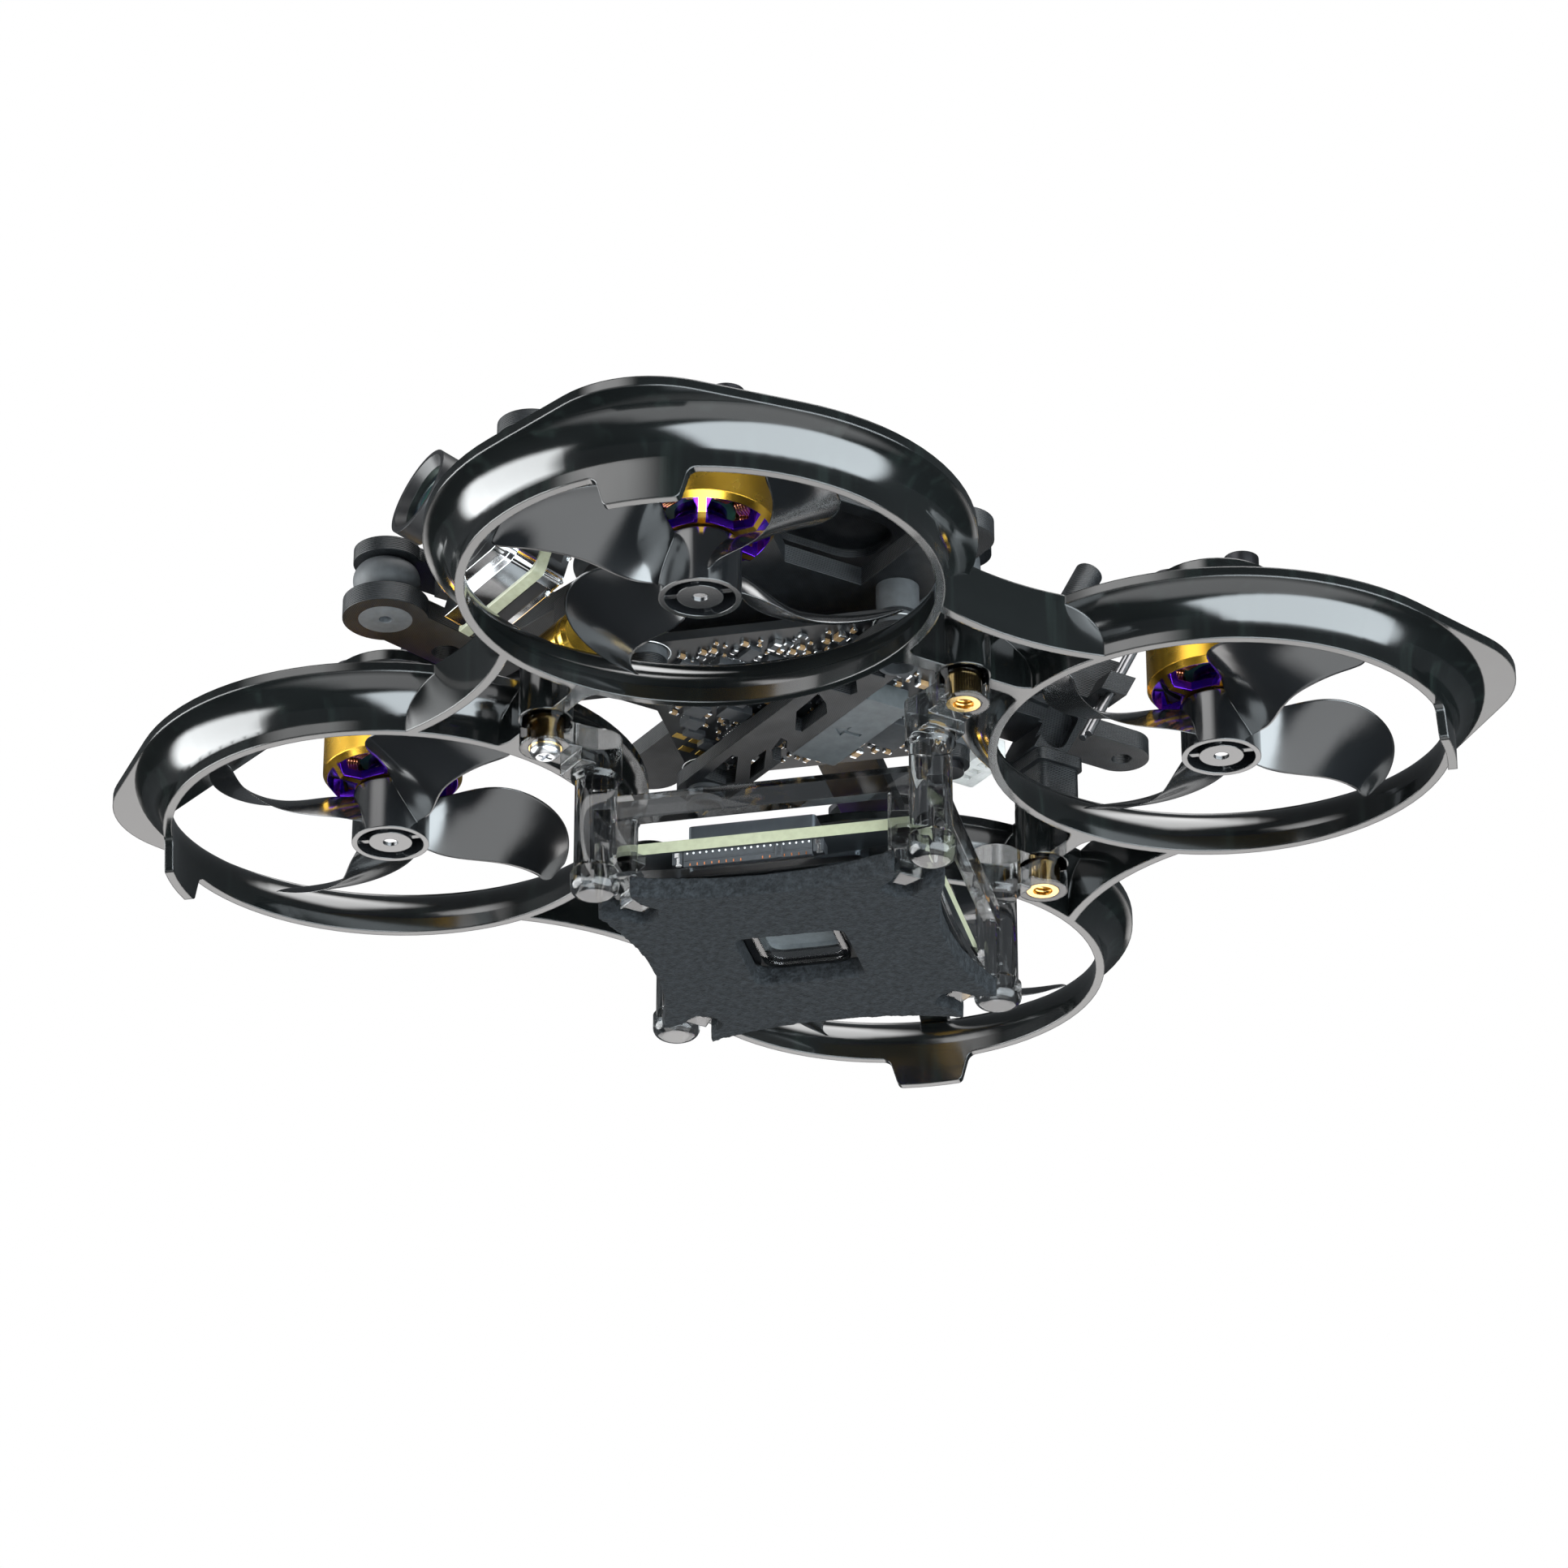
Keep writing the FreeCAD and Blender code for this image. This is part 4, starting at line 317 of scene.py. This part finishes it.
def metal(name, colour, rough, grain=900.0, edge=0.06, mottling=0.12):
    """Metal with a fine turned or brushed grain and small changes of tone."""
    m = Maker(name)
    fac = m.noise(grain, 5.0, 0.65)
    low = tuple(c * (1 - mottling) for c in colour)
    high = tuple(min(1.0, c * (1 + mottling)) for c in colour)
    m.link(m.ramp(fac, [(0.3, low), (0.7, high)]), m.shader.inputs["Base Color"])
    m.link(m.span(fac, rough * 0.75, rough * 1.3), m.shader.inputs["Roughness"])
    m.set(Metallic=1.0)
    m.bump(fac, 0.12, 0.02, edge)
    return m.mat


def plastic(name, colour, rough, grain=800.0, edge=0.08, bump=0.15, vary=0.18):
    """Moulded plastic or rubber with a fine skin texture."""
    m = Maker(name)
    fac = m.noise(grain, 4.0, 0.6)
    low = tuple(c * (1 - vary) for c in colour)
    high = tuple(min(1.0, c * (1 + vary)) for c in colour)
    m.link(m.ramp(fac, [(0.3, low), (0.7, high)]), m.shader.inputs["Base Color"])
    gloss = m.span(m.noise(grain / 3, 3.0), rough * 0.85, min(1.0, rough * 1.2))
    m.link(gloss, m.shader.inputs["Roughness"])
    m.bump(fac, bump, 0.04, edge)
    return m.mat


def anodised(name, x, y):
    """Bell finish: gold band, spoke ridges and hub ring, violet on the cut faces between them."""
    m = Maker(name)
    spokes, ridge_reach, ridge_from = 6.0, 2.6 * MM * MM, 3.3
    ring_radius, ring_half, band_from = 3.55, 0.22, 6.63
    dx, dy, square = m.around(x, y)
    radius = m.math("SQRT", square, 0.0)
    wedge = m.math("COSINE", m.math("MULTIPLY", m.math("ARCTAN2", dy, dx), spokes), 0.0)
    across = m.math("MULTIPLY", square, m.math("ADD", wedge, 1.0))
    narrow = m.math("LESS_THAN", across, ridge_reach)
    ridge = m.math("MULTIPLY", narrow, m.math("GREATER_THAN", radius, ridge_from * MM))
    ring = m.math("COMPARE", radius, ring_radius * MM)
    ring.node.inputs[2].default_value = ring_half * MM
    band = m.math("GREATER_THAN", radius, band_from * MM)
    gold = m.math("MAXIMUM", m.math("MAXIMUM", band, ridge), ring)
    fac = m.noise(300.0, 2.0)
    warm = m.ramp(fac, [(0.3, (0.82, 0.47, 0.05)), (0.7, (0.9, 0.54, 0.075))])
    violet = m.ramp(fac, [(0.3, (0.11, 0.015, 0.55)), (0.7, (0.19, 0.03, 0.75))])
    m.link(m.mix(gold, violet, warm), m.shader.inputs["Base Color"])
    m.link(m.span(fac, 0.24, 0.3), m.shader.inputs["Roughness"])
    m.set(Metallic=1.0)
    m.bump(fac, 0.04, 0.02, 0.1)
    return m.mat


MATS = {
    "frame": smoked("smoked_frame", (0.005, 0.006, 0.006), 1.72, 0.12, 0.22, 0.12),
    "prop": smoked("smoked_prop", (0.008, 0.009, 0.010), 1.95, 0.15, 0.14),
    "cage": clear("smoked_clear", (0.52, 0.53, 0.535), 1.08, 0.02, 0.3),
    "printed": printed("printed_black", (0.006, 0.007, 0.008)),
    "violet": metal("anodised_violet", (0.1, 0.015, 0.42), 0.25),
    "steel": metal("bright_steel", (0.62, 0.62, 0.63), 0.22),
    "black_steel": metal("black_steel", (0.06, 0.06, 0.065), 0.35),
    "magnet": metal("magnet_steel", (0.3, 0.3, 0.32), 0.4),
    "copper": metal("copper_wire", (0.74, 0.34, 0.17), 0.22, 900.0, 0.0),
    "brass": metal("brass", (0.83, 0.58, 0.24), 0.16),
    "chrome": metal("tinned_shield", (0.78, 0.79, 0.8), 0.12, 300.0, 0.1, 0.05),
    "can": metal("gold_can", (0.83, 0.5, 0.07), 0.2),
    "can_grey": metal("shield_grey", (0.16, 0.18, 0.2), 0.42, 600.0, 0.1, 0.08),
    "board_green": laminate("laminate_pale", (0.30, 0.31, 0.21), (0.016, 0.018, 0.02)),
    "board_camera": camera_laminate("laminate_camera"),
    "board_black": plastic("solder_mask", (0.007, 0.008, 0.009), 0.42, 600.0),
    "dark": plastic("chip_plastic", (0.035, 0.038, 0.042), 0.5, 1500.0),
    "socket": plastic("socket_black", (0.006, 0.006, 0.007), 0.45, 1200.0),
    "rubber": plastic("rubber_grey", (0.05, 0.054, 0.058), 0.6, 900.0),
    "disc": plastic("disc_grey", (0.12, 0.13, 0.14), 0.5, 900.0),
    "module": plastic("module_grey", (0.075, 0.085, 0.09), 0.45, 900.0),
    "lens_black": plastic("lens_black", (0.012, 0.012, 0.013), 0.35, 900.0),
    "white": plastic("connector_white", (0.75, 0.75, 0.73), 0.35, 700.0),
    "dots": plastic("pin_white", (0.8, 0.8, 0.8), 0.3, 1500.0, 0.0, 0.05, 0.04),
    "tan": plastic("part_tan", (0.32, 0.2, 0.09), 0.4, 1500.0),
    "gold_pad": metal("gold_pad", (0.62, 0.4, 0.09), 0.3, 1500.0, 0.02),
    "solder": metal("solder", (0.72, 0.73, 0.74), 0.18, 1500.0, 0.03),
    "lead": metal("lead_grey", (0.36, 0.36, 0.37), 0.3),
    "button": plastic("button_frosted", (0.10, 0.11, 0.115), 0.45, 1500.0),
    "glass": lens("lens_glass"),
    "foam": foam("foam_skin"),
}
GIVEN = {
    "duct_frame": "frame",
    "motor_deck": "printed",
    "motor_bearings": "steel",
    "motor_screws": "black_steel",
    "cage": "cage",
    "cage_ears": "cage",
    "cage_inserts": "brass",
    "cage_screw": "steel",
    "pad_bezel": "cage",
    "pad_button": "button",
    "air_unit_board": "board_green",
    "air_unit_connector": "dark",
    "air_unit_shields": "can_grey",
    "flight_controller": "board_black",
    "fc_components": "dark",
    "fc_grommets": "rubber",
    "fc_screws": "black_steel",
    "stack_bracket": "printed",
    "direction_block": "module",
    "capacitor": "can",
    "damper_inserts": "disc",
    "damper_balls": "rubber",
    "camera_plate": "printed",
    "camera_housing": "chrome",
    "camera_board": "board_camera",
    "camera_shield": "chrome",
    "camera_barrel": "lens_black",
    "camera_lens": "glass",
    "camera_screws": "steel",
    "antenna_mount": "printed",
    "antenna_tube": "printed",
    "antenna_leads": "lead",
    "rear_connector": "white",
}


def dress(obj, mat):
    """Gives the object one material."""
    obj.data.materials.clear()
    obj.data.materials.append(mat)


def dress_nodes():
    """Puts a material on every CAD node."""
    for name, key in GIVEN.items():
        dress(NODES[name], MATS[key])
    for label, (x, y) in MOTORS.items():
        dress(NODES["bell_" + label], anodised("bell_finish_" + label, x, y))
        dress(NODES["motor_base_" + label], MATS["violet"])
        dress(NODES["stator_" + label], wound("stator_finish_" + label, x, y))
        dress(NODES["magnet_ring_" + label], MATS["magnet"])
        dress(NODES["shaft_" + label], MATS["steel"])
        dress(NODES["propeller_" + label], MATS["prop"])


# ---- Mesh pieces ------------------------------------------------------------------------------


def add_piece(name, bm, mats, body):
    """Turns a bmesh into a piece that rides on a body and has one material per face index."""
    mesh = bpy.data.meshes.new(name)
    bm.to_mesh(mesh)
    bm.free()
    for key in mats:
        mesh.materials.append(MATS[key])
    obj = bpy.data.objects.new(name, mesh)
    bpy.context.collection.objects.link(obj)
    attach(obj, body)
    return obj


def slab(bm, centre, size, mat=0, turn=0.0, bevel=0.06, way=None):
    """Adds a block with rounded edges, centre and size in millimetres."""
    verts = bmesh.ops.create_cube(bm, size=1.0)["verts"]
    place = Matrix.Translation(Vector(centre) * MM) @ Matrix.Rotation(turn, 4, "Z")
    if way is not None:
        place = way @ place
    scale = Matrix.Diagonal((size[0] * MM, size[1] * MM, size[2] * MM, 1.0))
    bmesh.ops.transform(bm, matrix=place @ scale, verts=verts)
    edges = list({e for v in verts for e in v.link_edges})
    faces = {f for v in verts for f in v.link_faces}
    for face in faces:
        face.material_index = mat
    amount = min(bevel, 0.3 * min(size)) * MM
    bmesh.ops.bevel(bm, geom=edges, offset=amount, segments=2, affect="EDGES", material=mat)


def loop_tube(bm, points, radius, sides=6, mat=0, closed=True):
    """Adds a round tube along the points, in metres."""
    rings = []
    last = None
    count = len(points)
    for number, point in enumerate(points):
        before = points[number - 1] if closed or number else point
        after = points[(number + 1) % count] if closed or number < count - 1 else point
        way = (after - before).normalized()
        side = way.orthogonal() if last is None else last - way * last.dot(way)
        side = last = side.normalized()
        lift = way.cross(side)
        ring = []
        for step in range(sides):
            angle = 2 * math.pi * step / sides
            out = side * math.cos(angle) + lift * math.sin(angle)
            ring.append(bm.verts.new(point + out * radius))
        rings.append(ring)
    spans = count if closed else count - 1
    for number in range(spans):
        first, second = rings[number], rings[(number + 1) % count]
        for step in range(sides):
            following = (step + 1) % sides
            face = bm.faces.new((first[step], first[following], second[following], second[step]))
            face.smooth = True
            face.material_index = mat


def windings(label, x, y):
    """Copper turns round the nine teeth of one stator."""
    bm = bmesh.new()
    middle, half_tall, wire, corner = RIM + 10.0, 2.05, 0.15, 0.3
    teeth, turns, first, pitch = 9, 5, 3.66, 0.28
    root_half, root_radius, widens, over = 0.82, 3.5, 0.35, 1.38
    for tooth in range(teeth):
        spin = Matrix.Rotation(2 * math.pi * tooth / teeth, 4, "Z")
        for turn in range(turns):
            out = first + pitch * turn
            half = root_half + widens * (out - root_radius) / over
            points = []
            for quarter in range(4):
                for step in range(4):
                    angle = math.pi / 2 * (quarter + step / 3)
                    side = 1 if quarter in (0, 3) else -1
                    lift = 1 if quarter in (0, 1) else -1
                    across = side * (half - corner) + corner * math.cos(angle)
                    up = lift * (half_tall - corner) + corner * math.sin(angle)
                    turned = spin @ Vector((out, across, 0))
                    points.append(Vector((x + turned.x, y + turned.y, middle + up)) * MM)
            loop_tube(bm, points, wire * MM)
    add_piece("windings_" + label, bm, ["copper"], "airframe")


def insert_threads():
    """Thread ridges inside the open brass inserts."""
    bm = bmesh.new()
    turns, steps, pitch, bore, start, thick = 8, 24, 0.4, 0.97, RIM - 2.8, 0.09
    for x, y in ((29.3, 0), (-29.3, 0), (0, 29.3)):
        points = []
        for number in range(turns * steps + 1):
            angle = 2 * math.pi * number / steps
            up = start + pitch * number / steps
            place = Vector((x + bore * math.cos(angle), y + bore * math.sin(angle), up))
            points.append(place * MM)
        loop_tube(bm, points, thick * MM, 5, 0, False)
    add_piece("insert_threads", bm, ["brass"], "airframe")


def foam_block():
    """The foam landing pad: the CAD outline remeshed, with soft edges and an uneven skin."""
    node = NODES["foam_pad"]
    obj = bpy.data.objects.new("foam_block", node.data.copy())
    bpy.context.collection.objects.link(obj)
    remesh = obj.modifiers.new("remesh", "REMESH")
    remesh.mode = "VOXEL"
    remesh.voxel_size = 0.3 * MM
    smooth = obj.modifiers.new("smooth", "SMOOTH")
    smooth.iterations = 1
    evaluated = obj.evaluated_get(bpy.context.evaluated_depsgraph_get())
    mesh = bpy.data.meshes.new_from_object(evaluated)
    obj.modifiers.clear()
    obj.data = mesh
    mesh.name = "foam_block"
    deep, grain, floor_z = 0.05 * MM, 0.9 * MM, 0.02 * MM
    for vertex in mesh.vertices:
        dent = deep * (noise.noise(vertex.co / grain) + 0.6)
        vertex.co -= vertex.normal * max(0.0, dent)
        vertex.co.z = max(vertex.co.z, floor_z)
    for polygon in mesh.polygons:
        polygon.use_smooth = True
    mesh.materials.clear()
    mesh.materials.append(MATS["foam"])
    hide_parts("foam_pad")
    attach(obj, "airframe")


# ---- Electronics ------------------------------------------------------------------------------

FC_FACE = RIM + 10.8  # height of the controller's lower face, mm
FC_REACH = 19.6  # from the controller's middle to its cut sides, along X plus Y
FC_HOLES = ((18.03, 0), (-18.03, 0), (0, 18.03), (0, -18.03))
CHIPS = (  # low X, low Y, high X, high Y of each chip, mm; the first seven have legs
    (-3.5, -11.6, 3.5, -4.6),
    (-11.5, -2.2, -6.5, 2.8),
    (7.4, -2.4, 11.6, 1.8),
    (-3.0, 9.4, 2.0, 13.4),
    (-7.7, -9.1, -5.6, -7.0),
    (-10.1, -8.0, -8.2, -6.1),
    (-6.3, -6.0, -4.2, -3.0),
    (4.6, -10.2, 7.0, -8.9),
    (4.8, -7.6, 6.2, -5.2),
    (-12.2, -6.4, -11.0, -4.4),
    (3.0, 10.6, 5.4, 12.0),
    (-7.3, 3.0, 7.6, 8.7),
)
CHIPS_WITH_LEGS = 7
PADS = [(-13.3, -6.0), (-13.4, -4.0), (-13.4, -2.0), (-15.4, -4.0), (-15.4, -2.0)]
PAD_HALF = (0.7, 0.9)


def clear_of(x, y, half_x, half_y, taken):
    """True where a small part would stay off the chips and off the parts already placed."""
    hole_room = 3.0
    if abs(x) + abs(y) + half_x + half_y > FC_REACH:
        return False
    if any(math.hypot(x - hole_x, y - hole_y) < hole_room for hole_x, hole_y in FC_HOLES):
        return False
    for low_x, low_y, high_x, high_y in taken:
        meets_x = low_x < x + half_x and x - half_x < high_x
        if meets_x and low_y < y + half_y and y - half_y < high_y:
            return False
    return True


def small_parts():
    """Resistors, capacitors and gold test pads on the controller's lower face."""
    bm = bmesh.new()
    draw = random.Random(7)
    mats = ["solder", "tan", "gold_pad", "dark"]
    solder, tan, gold, dark = range(len(mats))
    tries, reach, gap, room = 2600, 17, 0.12, 0.1
    sizes = ((1.0, 0.5), (1.0, 0.5), (0.6, 0.32), (1.6, 0.8))
    pad_x, pad_y = PAD_HALF
    taken = list(CHIPS)
    taken += [(x - pad_x, y - pad_y, x + pad_x, y + pad_y) for x, y in PADS]
    for x, y in PADS:
        slab(bm, (x, y, FC_FACE - 0.02), (0.95, 1.4, 0.06), gold, 0.0, 0.01)
    for _try in range(tries):
        x, y = draw.uniform(-reach, reach), draw.uniform(-reach, reach)
        long, wide = draw.choice(sizes)
        along = draw.random() < 0.5
        half_x, half_y = (long / 2, wide / 2) if along else (wide / 2, long / 2)
        if not clear_of(x, y, half_x + gap, half_y + gap, taken):
            continue
        taken.append((x - half_x - room, y - half_y - room, x + half_x + room, y + half_y + room))
        tall = wide * 0.8
        middle = FC_FACE - tall / 2
        body_mat = draw.choice((tan, tan, dark))
        turn = 0.0 if along else math.pi / 2
        slab(bm, (x, y, middle), (long * 0.6, wide * 0.94, tall * 0.94), body_mat, turn, 0.02)
        for side in (1, -1):
            shift = side * long * 0.38
            place = (x + shift, y) if along else (x, y + shift)
            slab(bm, (*place, middle), (long * 0.24, wide, tall), solder, turn, 0.06)
    add_piece("controller_small_parts", bm, mats, "airframe")


def chip_legs():
    """Legs along the chips' edges and a printed ring round each of the controller's holes."""
    bm = bmesh.new()
    pitch, margin, ring, steps = 0.42, 0.4, 2.45, 28
    for low_x, low_y, high_x, high_y in CHIPS[:CHIPS_WITH_LEGS]:
        for along_x in (True, False):
            span = (high_x - low_x) if along_x else (high_y - low_y)
            count = int((span - margin) / pitch)
            for number in range(count):
                shift = (number - (count - 1) / 2) * pitch
                for side in (1, -1):
                    if along_x:
                        x, y = (low_x + high_x) / 2 + shift, high_y if side > 0 else low_y
                        size = (0.2, 0.34, 0.12)
                    else:
                        x, y = high_x if side > 0 else low_x, (low_y + high_y) / 2 + shift
                        size = (0.34, 0.2, 0.12)
                    slab(bm, (x, y, FC_FACE - 0.07), size, 0, 0.0, 0.03)
    for x, y in FC_HOLES:
        points = []
        for step in range(steps):
            angle = 2 * math.pi * step / steps
            place = Vector((x + ring * math.cos(angle), y + ring * math.sin(angle), FC_FACE))
            points.append(place * MM)
        loop_tube(bm, points, 0.06 * MM, 5, 1)
    add_piece("controller_legs", bm, ["solder", "dots"], "airframe")


def board_point(u, v):
    """X and Y of a point given along and across a board that is turned by 45 degrees."""
    cosine, sine = math.cos(BOARD_TURN), math.sin(BOARD_TURN)
    return u * cosine - v * sine, u * sine + v * cosine


def plug_details():
    """Pin ends, contacts, clips and the middle latch of the air unit's edge connector."""
    bm = bmesh.new()
    mats = ["dots", "copper", "dark", "solder"]
    dots, copper, dark, solder = range(len(mats))
    low, edge = RIM - 12.8, -14.72

    def block(u, out, drop, size, mat, bevel):
        """A block at u along the board's edge, shifted across it, and drop below its lower face."""
        slab(bm, (*board_point(u, edge + out), low - drop), size, mat, BOARD_TURN, bevel)

    for number in range(20):
        block(-7.9 + 0.637 * number, 0.0, 0.2, (0.2, 0.2, 0.2), dots, 0.07)
    for number in range(17):
        if number not in (8, 9):  # the latch stands there
            block(-7.6 + 0.72 * number, 0.02, 1.42, (0.12, 0.14, 0.3), copper, 0.02)
    for u in (0.9, 1.5):
        block(u, -0.02, 0.75, (0.22, 0.2, 1.2), dark, 0.04)
    block(1.2, -0.02, 1.45, (0.75, 0.2, 0.3), dark, 0.04)
    block(-1.9, 0.0, 0.95, (12.6, 0.12, 0.14), dark, 0.03)
    for u in (-8.9, 5.1):
        block(u, -0.05, 0.35, (0.5, 0.24, 0.6), solder, 0.06)
        block(u + 0.12, -0.05, 1.0, (0.3, 0.22, 0.8), solder, 0.06)
        block(u + 0.2, -0.1, 1.5, (0.62, 0.3, 0.3), solder, 0.08)
    add_piece("plug_details", bm, mats, "airframe")


def camera_details():
    """Black socket, folded tabs and solder bumps at the back of the camera."""
    mats = ["chrome", "socket", "solder"]
    chrome, socket, solder = range(len(mats))
    tilt, back = math.radians(15.3), 10.9  # the camera's built-in tilt, and lens to back in mm
    at = Vector((0, -44.27 + back * math.cos(tilt), RIM + 21.25 - back * math.sin(tilt))) * MM
    way = Matrix.Translation(at) @ Matrix.Rotation(-tilt, 4, "X")
    bm = bmesh.new()

    def block(centre, size, mat, bevel):
        """A block placed in the tilted camera's own directions."""
        slab(bm, centre, size, mat, 0.0, bevel, way)

    block((0.4, 2.3, -6.55), (11.0, 1.4, 0.5), socket, 0.08)
    block((7.15, 2.3, 0.0), (0.3, 1.4, 9.0), socket, 0.08)
    for x in (-6.3, 6.5):
        block((x, 2.2, -6.62), (1.5, 2.6, 0.42), chrome, 0.1)
        block((x * 0.93, 1.25, -6.66), (2.6, 0.7, 0.3), chrome, 0.08)
    for x, z in ((7.0, -6.3), (7.2, -3.4), (4.6, -6.6)):
        block((x, 3.6, z), (0.55, 0.45, 0.45), solder, 0.16)
    for z in (-4.2, 0.0, 4.2):
        block((7.42, -0.8, z), (0.22, 1.6, 1.3), chrome, 0.1)
    add_piece("camera_details", bm, mats, "camera")


def build_pieces():
    """Every mesh piece that adds to or stands for the CAD nodes."""
    foam_block()
    for label, (x, y) in MOTORS.items():
        windings(label, x, y)
    insert_threads()
    small_parts()
    chip_legs()
    plug_details()
    camera_details()


# ---- Stage ----------------------------------------------------------------------------------


MIDDLE = Vector((0, 0, 0.02))  # what the panels face, m
PANELS = (  # name, azimuth, elevation, distance, width, height, radiance, colour, faded share
    ("box_port", 8, -25, 0.75, 1.6, 1.35, 7.3, (0.86, 0.95, 1.0), 0.3),
    ("box_front", -122, -7, 0.8, 1.05, 1.0, 9.0, (0.96, 0.99, 1.0), 0.4),
    ("box_under", 60, -84, 0.9, 1.1, 1.1, 1.3, (0.97, 0.99, 1.0), 0.5),
    ("box_far", 149, -28, 1.0, 0.9, 0.5, 2.3, (1.0, 0.98, 0.97), 0.25),
    ("box_top", 30, 72, 0.9, 1.0, 0.9, 5.0, WHITE, 0.6),
    ("box_rear", -75, 35, 1.0, 1.0, 0.5, 3.2, WHITE, 0.8),
)
ROOM_REFLECTED, ROOM_SEEN = (0.07, 0.075, 0.08, 1), (1, 1, 1, 1)
FLOOR_HALF, FLOOR_Z = 6.0, -1.6  # half the floor's side and its height, m
FLOOR_REFLECTED, FLOOR_SEEN = (0.06, 0.06, 0.065, 1), (0.9, 0.9, 0.9, 1)
FLOOR_GLOW, FLOOR_GLOW_COLOUR = 0.72, (0.98, 0.99, 1.0, 1)


def softbox(name, azimuth, elevation, distance, wide, tall, radiance, colour, soft):
    """A glowing panel that fades towards its edges, in the given direction and facing the drone."""
    a, e = math.radians(azimuth), math.radians(elevation)
    way = Vector((math.cos(a) * math.cos(e), math.sin(a) * math.cos(e), math.sin(e)))
    mesh = bpy.data.meshes.new(name)
    x, y = wide / 2, tall / 2
    mesh.from_pydata([(-x, -y, 0), (x, -y, 0), (x, y, 0), (-x, y, 0)], [], [(0, 1, 2, 3)])
    obj = bpy.data.objects.new(name, mesh)
    bpy.context.collection.objects.link(obj)
    obj.location = way * distance + MIDDLE
    obj.rotation_mode = "QUATERNION"
    obj.rotation_quaternion = way.to_track_quat("-Z", "Y")
    obj.visible_camera = False
    mesh.materials.append(glow(name + "_glow", x, y, radiance, colour, soft))


def glow(name, half_x, half_y, radiance, colour, soft):
    """Emission that is full in the middle of a panel and fades to nothing at its edges."""
    m = Maker(name)
    shares = []
    for axis, half in (("X", half_x), ("Y", half_y)):
        away = m.math("DIVIDE", m.math("ABSOLUTE", m.axis(axis), 0.0), half)
        fade = m.add("ShaderNodeMapRange", interpolation_type="SMOOTHSTEP")
        fade.inputs["From Min"].default_value = 1.0
        fade.inputs["From Max"].default_value = 1.0 - soft
        m.link(away, fade.inputs["Value"])
        shares.append(fade.outputs["Result"])
    strength = m.math("MULTIPLY", m.math("MULTIPLY", shares[0], shares[1]), radiance)
    emit = m.add("ShaderNodeEmission")
    emit.inputs["Color"].default_value = (*colour, 1.0)
    m.link(strength, emit.inputs["Strength"])
    m.link(emit.outputs["Emission"], m.tree.nodes["Material Output"].inputs["Surface"])
    return m.mat


def lights():
    """Soft panels in front of, beside, above and below the drone, none of them seen directly."""
    for panel in PANELS:
        softbox(*panel)


def seen_or_reflected(tree, reflected, seen):
    """A colour that is one thing to the camera and another to reflections, and the ray test."""
    direct = tree.nodes.new("ShaderNodeLightPath").outputs["Is Camera Ray"]
    mix = tree.nodes.new("ShaderNodeMix")
    mix.data_type = "RGBA"
    tree.links.new(direct, mix.inputs["Factor"])
    for socket, colour in zip(colour_sockets(mix.inputs), (reflected, seen)):
        socket.default_value = colour
    return colour_sockets(mix.outputs)[0], direct


def world():
    """A pale room that the camera sees as white and that reflections see much dimmer."""
    scene_world = bpy.data.worlds.new("room")
    bpy.context.scene.world = scene_world
    scene_world.use_nodes = True
    tree = scene_world.node_tree
    background = tree.nodes["Background"]
    colour, _direct = seen_or_reflected(tree, ROOM_REFLECTED, ROOM_SEEN)
    tree.links.new(colour, background.inputs["Color"])
    background.inputs["Strength"].default_value = 1.0


def floor():
    """A pale floor well below the drone, dim in reflections."""
    mesh = bpy.data.meshes.new("floor")
    s, z = FLOOR_HALF, FLOOR_Z
    mesh.from_pydata([(-s, -s, z), (s, -s, z), (s, s, z), (-s, s, z)], [], [(0, 1, 2, 3)])
    obj = bpy.data.objects.new("floor", mesh)
    bpy.context.collection.objects.link(obj)
    mat = bpy.data.materials.new("floor_pale")
    mat.use_nodes = True
    tree = mat.node_tree
    shader = tree.nodes["Principled BSDF"]
    colour, direct = seen_or_reflected(tree, FLOOR_REFLECTED, FLOOR_SEEN)
    tree.links.new(colour, shader.inputs["Base Color"])
    shader.inputs["Roughness"].default_value = 0.8
    shader.inputs["Emission Color"].default_value = FLOOR_GLOW_COLOUR
    lift = tree.nodes.new("ShaderNodeMath")
    lift.operation = "MULTIPLY"
    lift.inputs[1].default_value = FLOOR_GLOW
    tree.links.new(direct, lift.inputs[0])
    tree.links.new(lift.outputs["Value"], shader.inputs["Emission Strength"])
    obj.data.materials.append(mat)


def camera():
    """The photographer's view from below the drone's port bow, as fitted to the photograph."""
    data = bpy.data.cameras.new("view")
    data.lens = 133.573
    data.sensor_width = 36.0
    data.clip_start, data.clip_end = 0.01, 50.0
    obj = bpy.data.objects.new("view", data)
    bpy.context.collection.objects.link(obj)
    obj.matrix_world = Matrix(
        (
            (0.532406, 0.388920, 0.751855, 0.436289),
            (0.846489, -0.244456, -0.472966, -0.276335),
            (-0.00015, 0.888247, -0.459366, RIM * MM - 0.265957),
            (0, 0, 0, 1),
        )
    )
    bpy.context.scene.camera = obj


dress_nodes()
build_pieces()
lights()
world()
floor()
camera()
bpy.context.scene.view_settings.view_transform = "Standard"
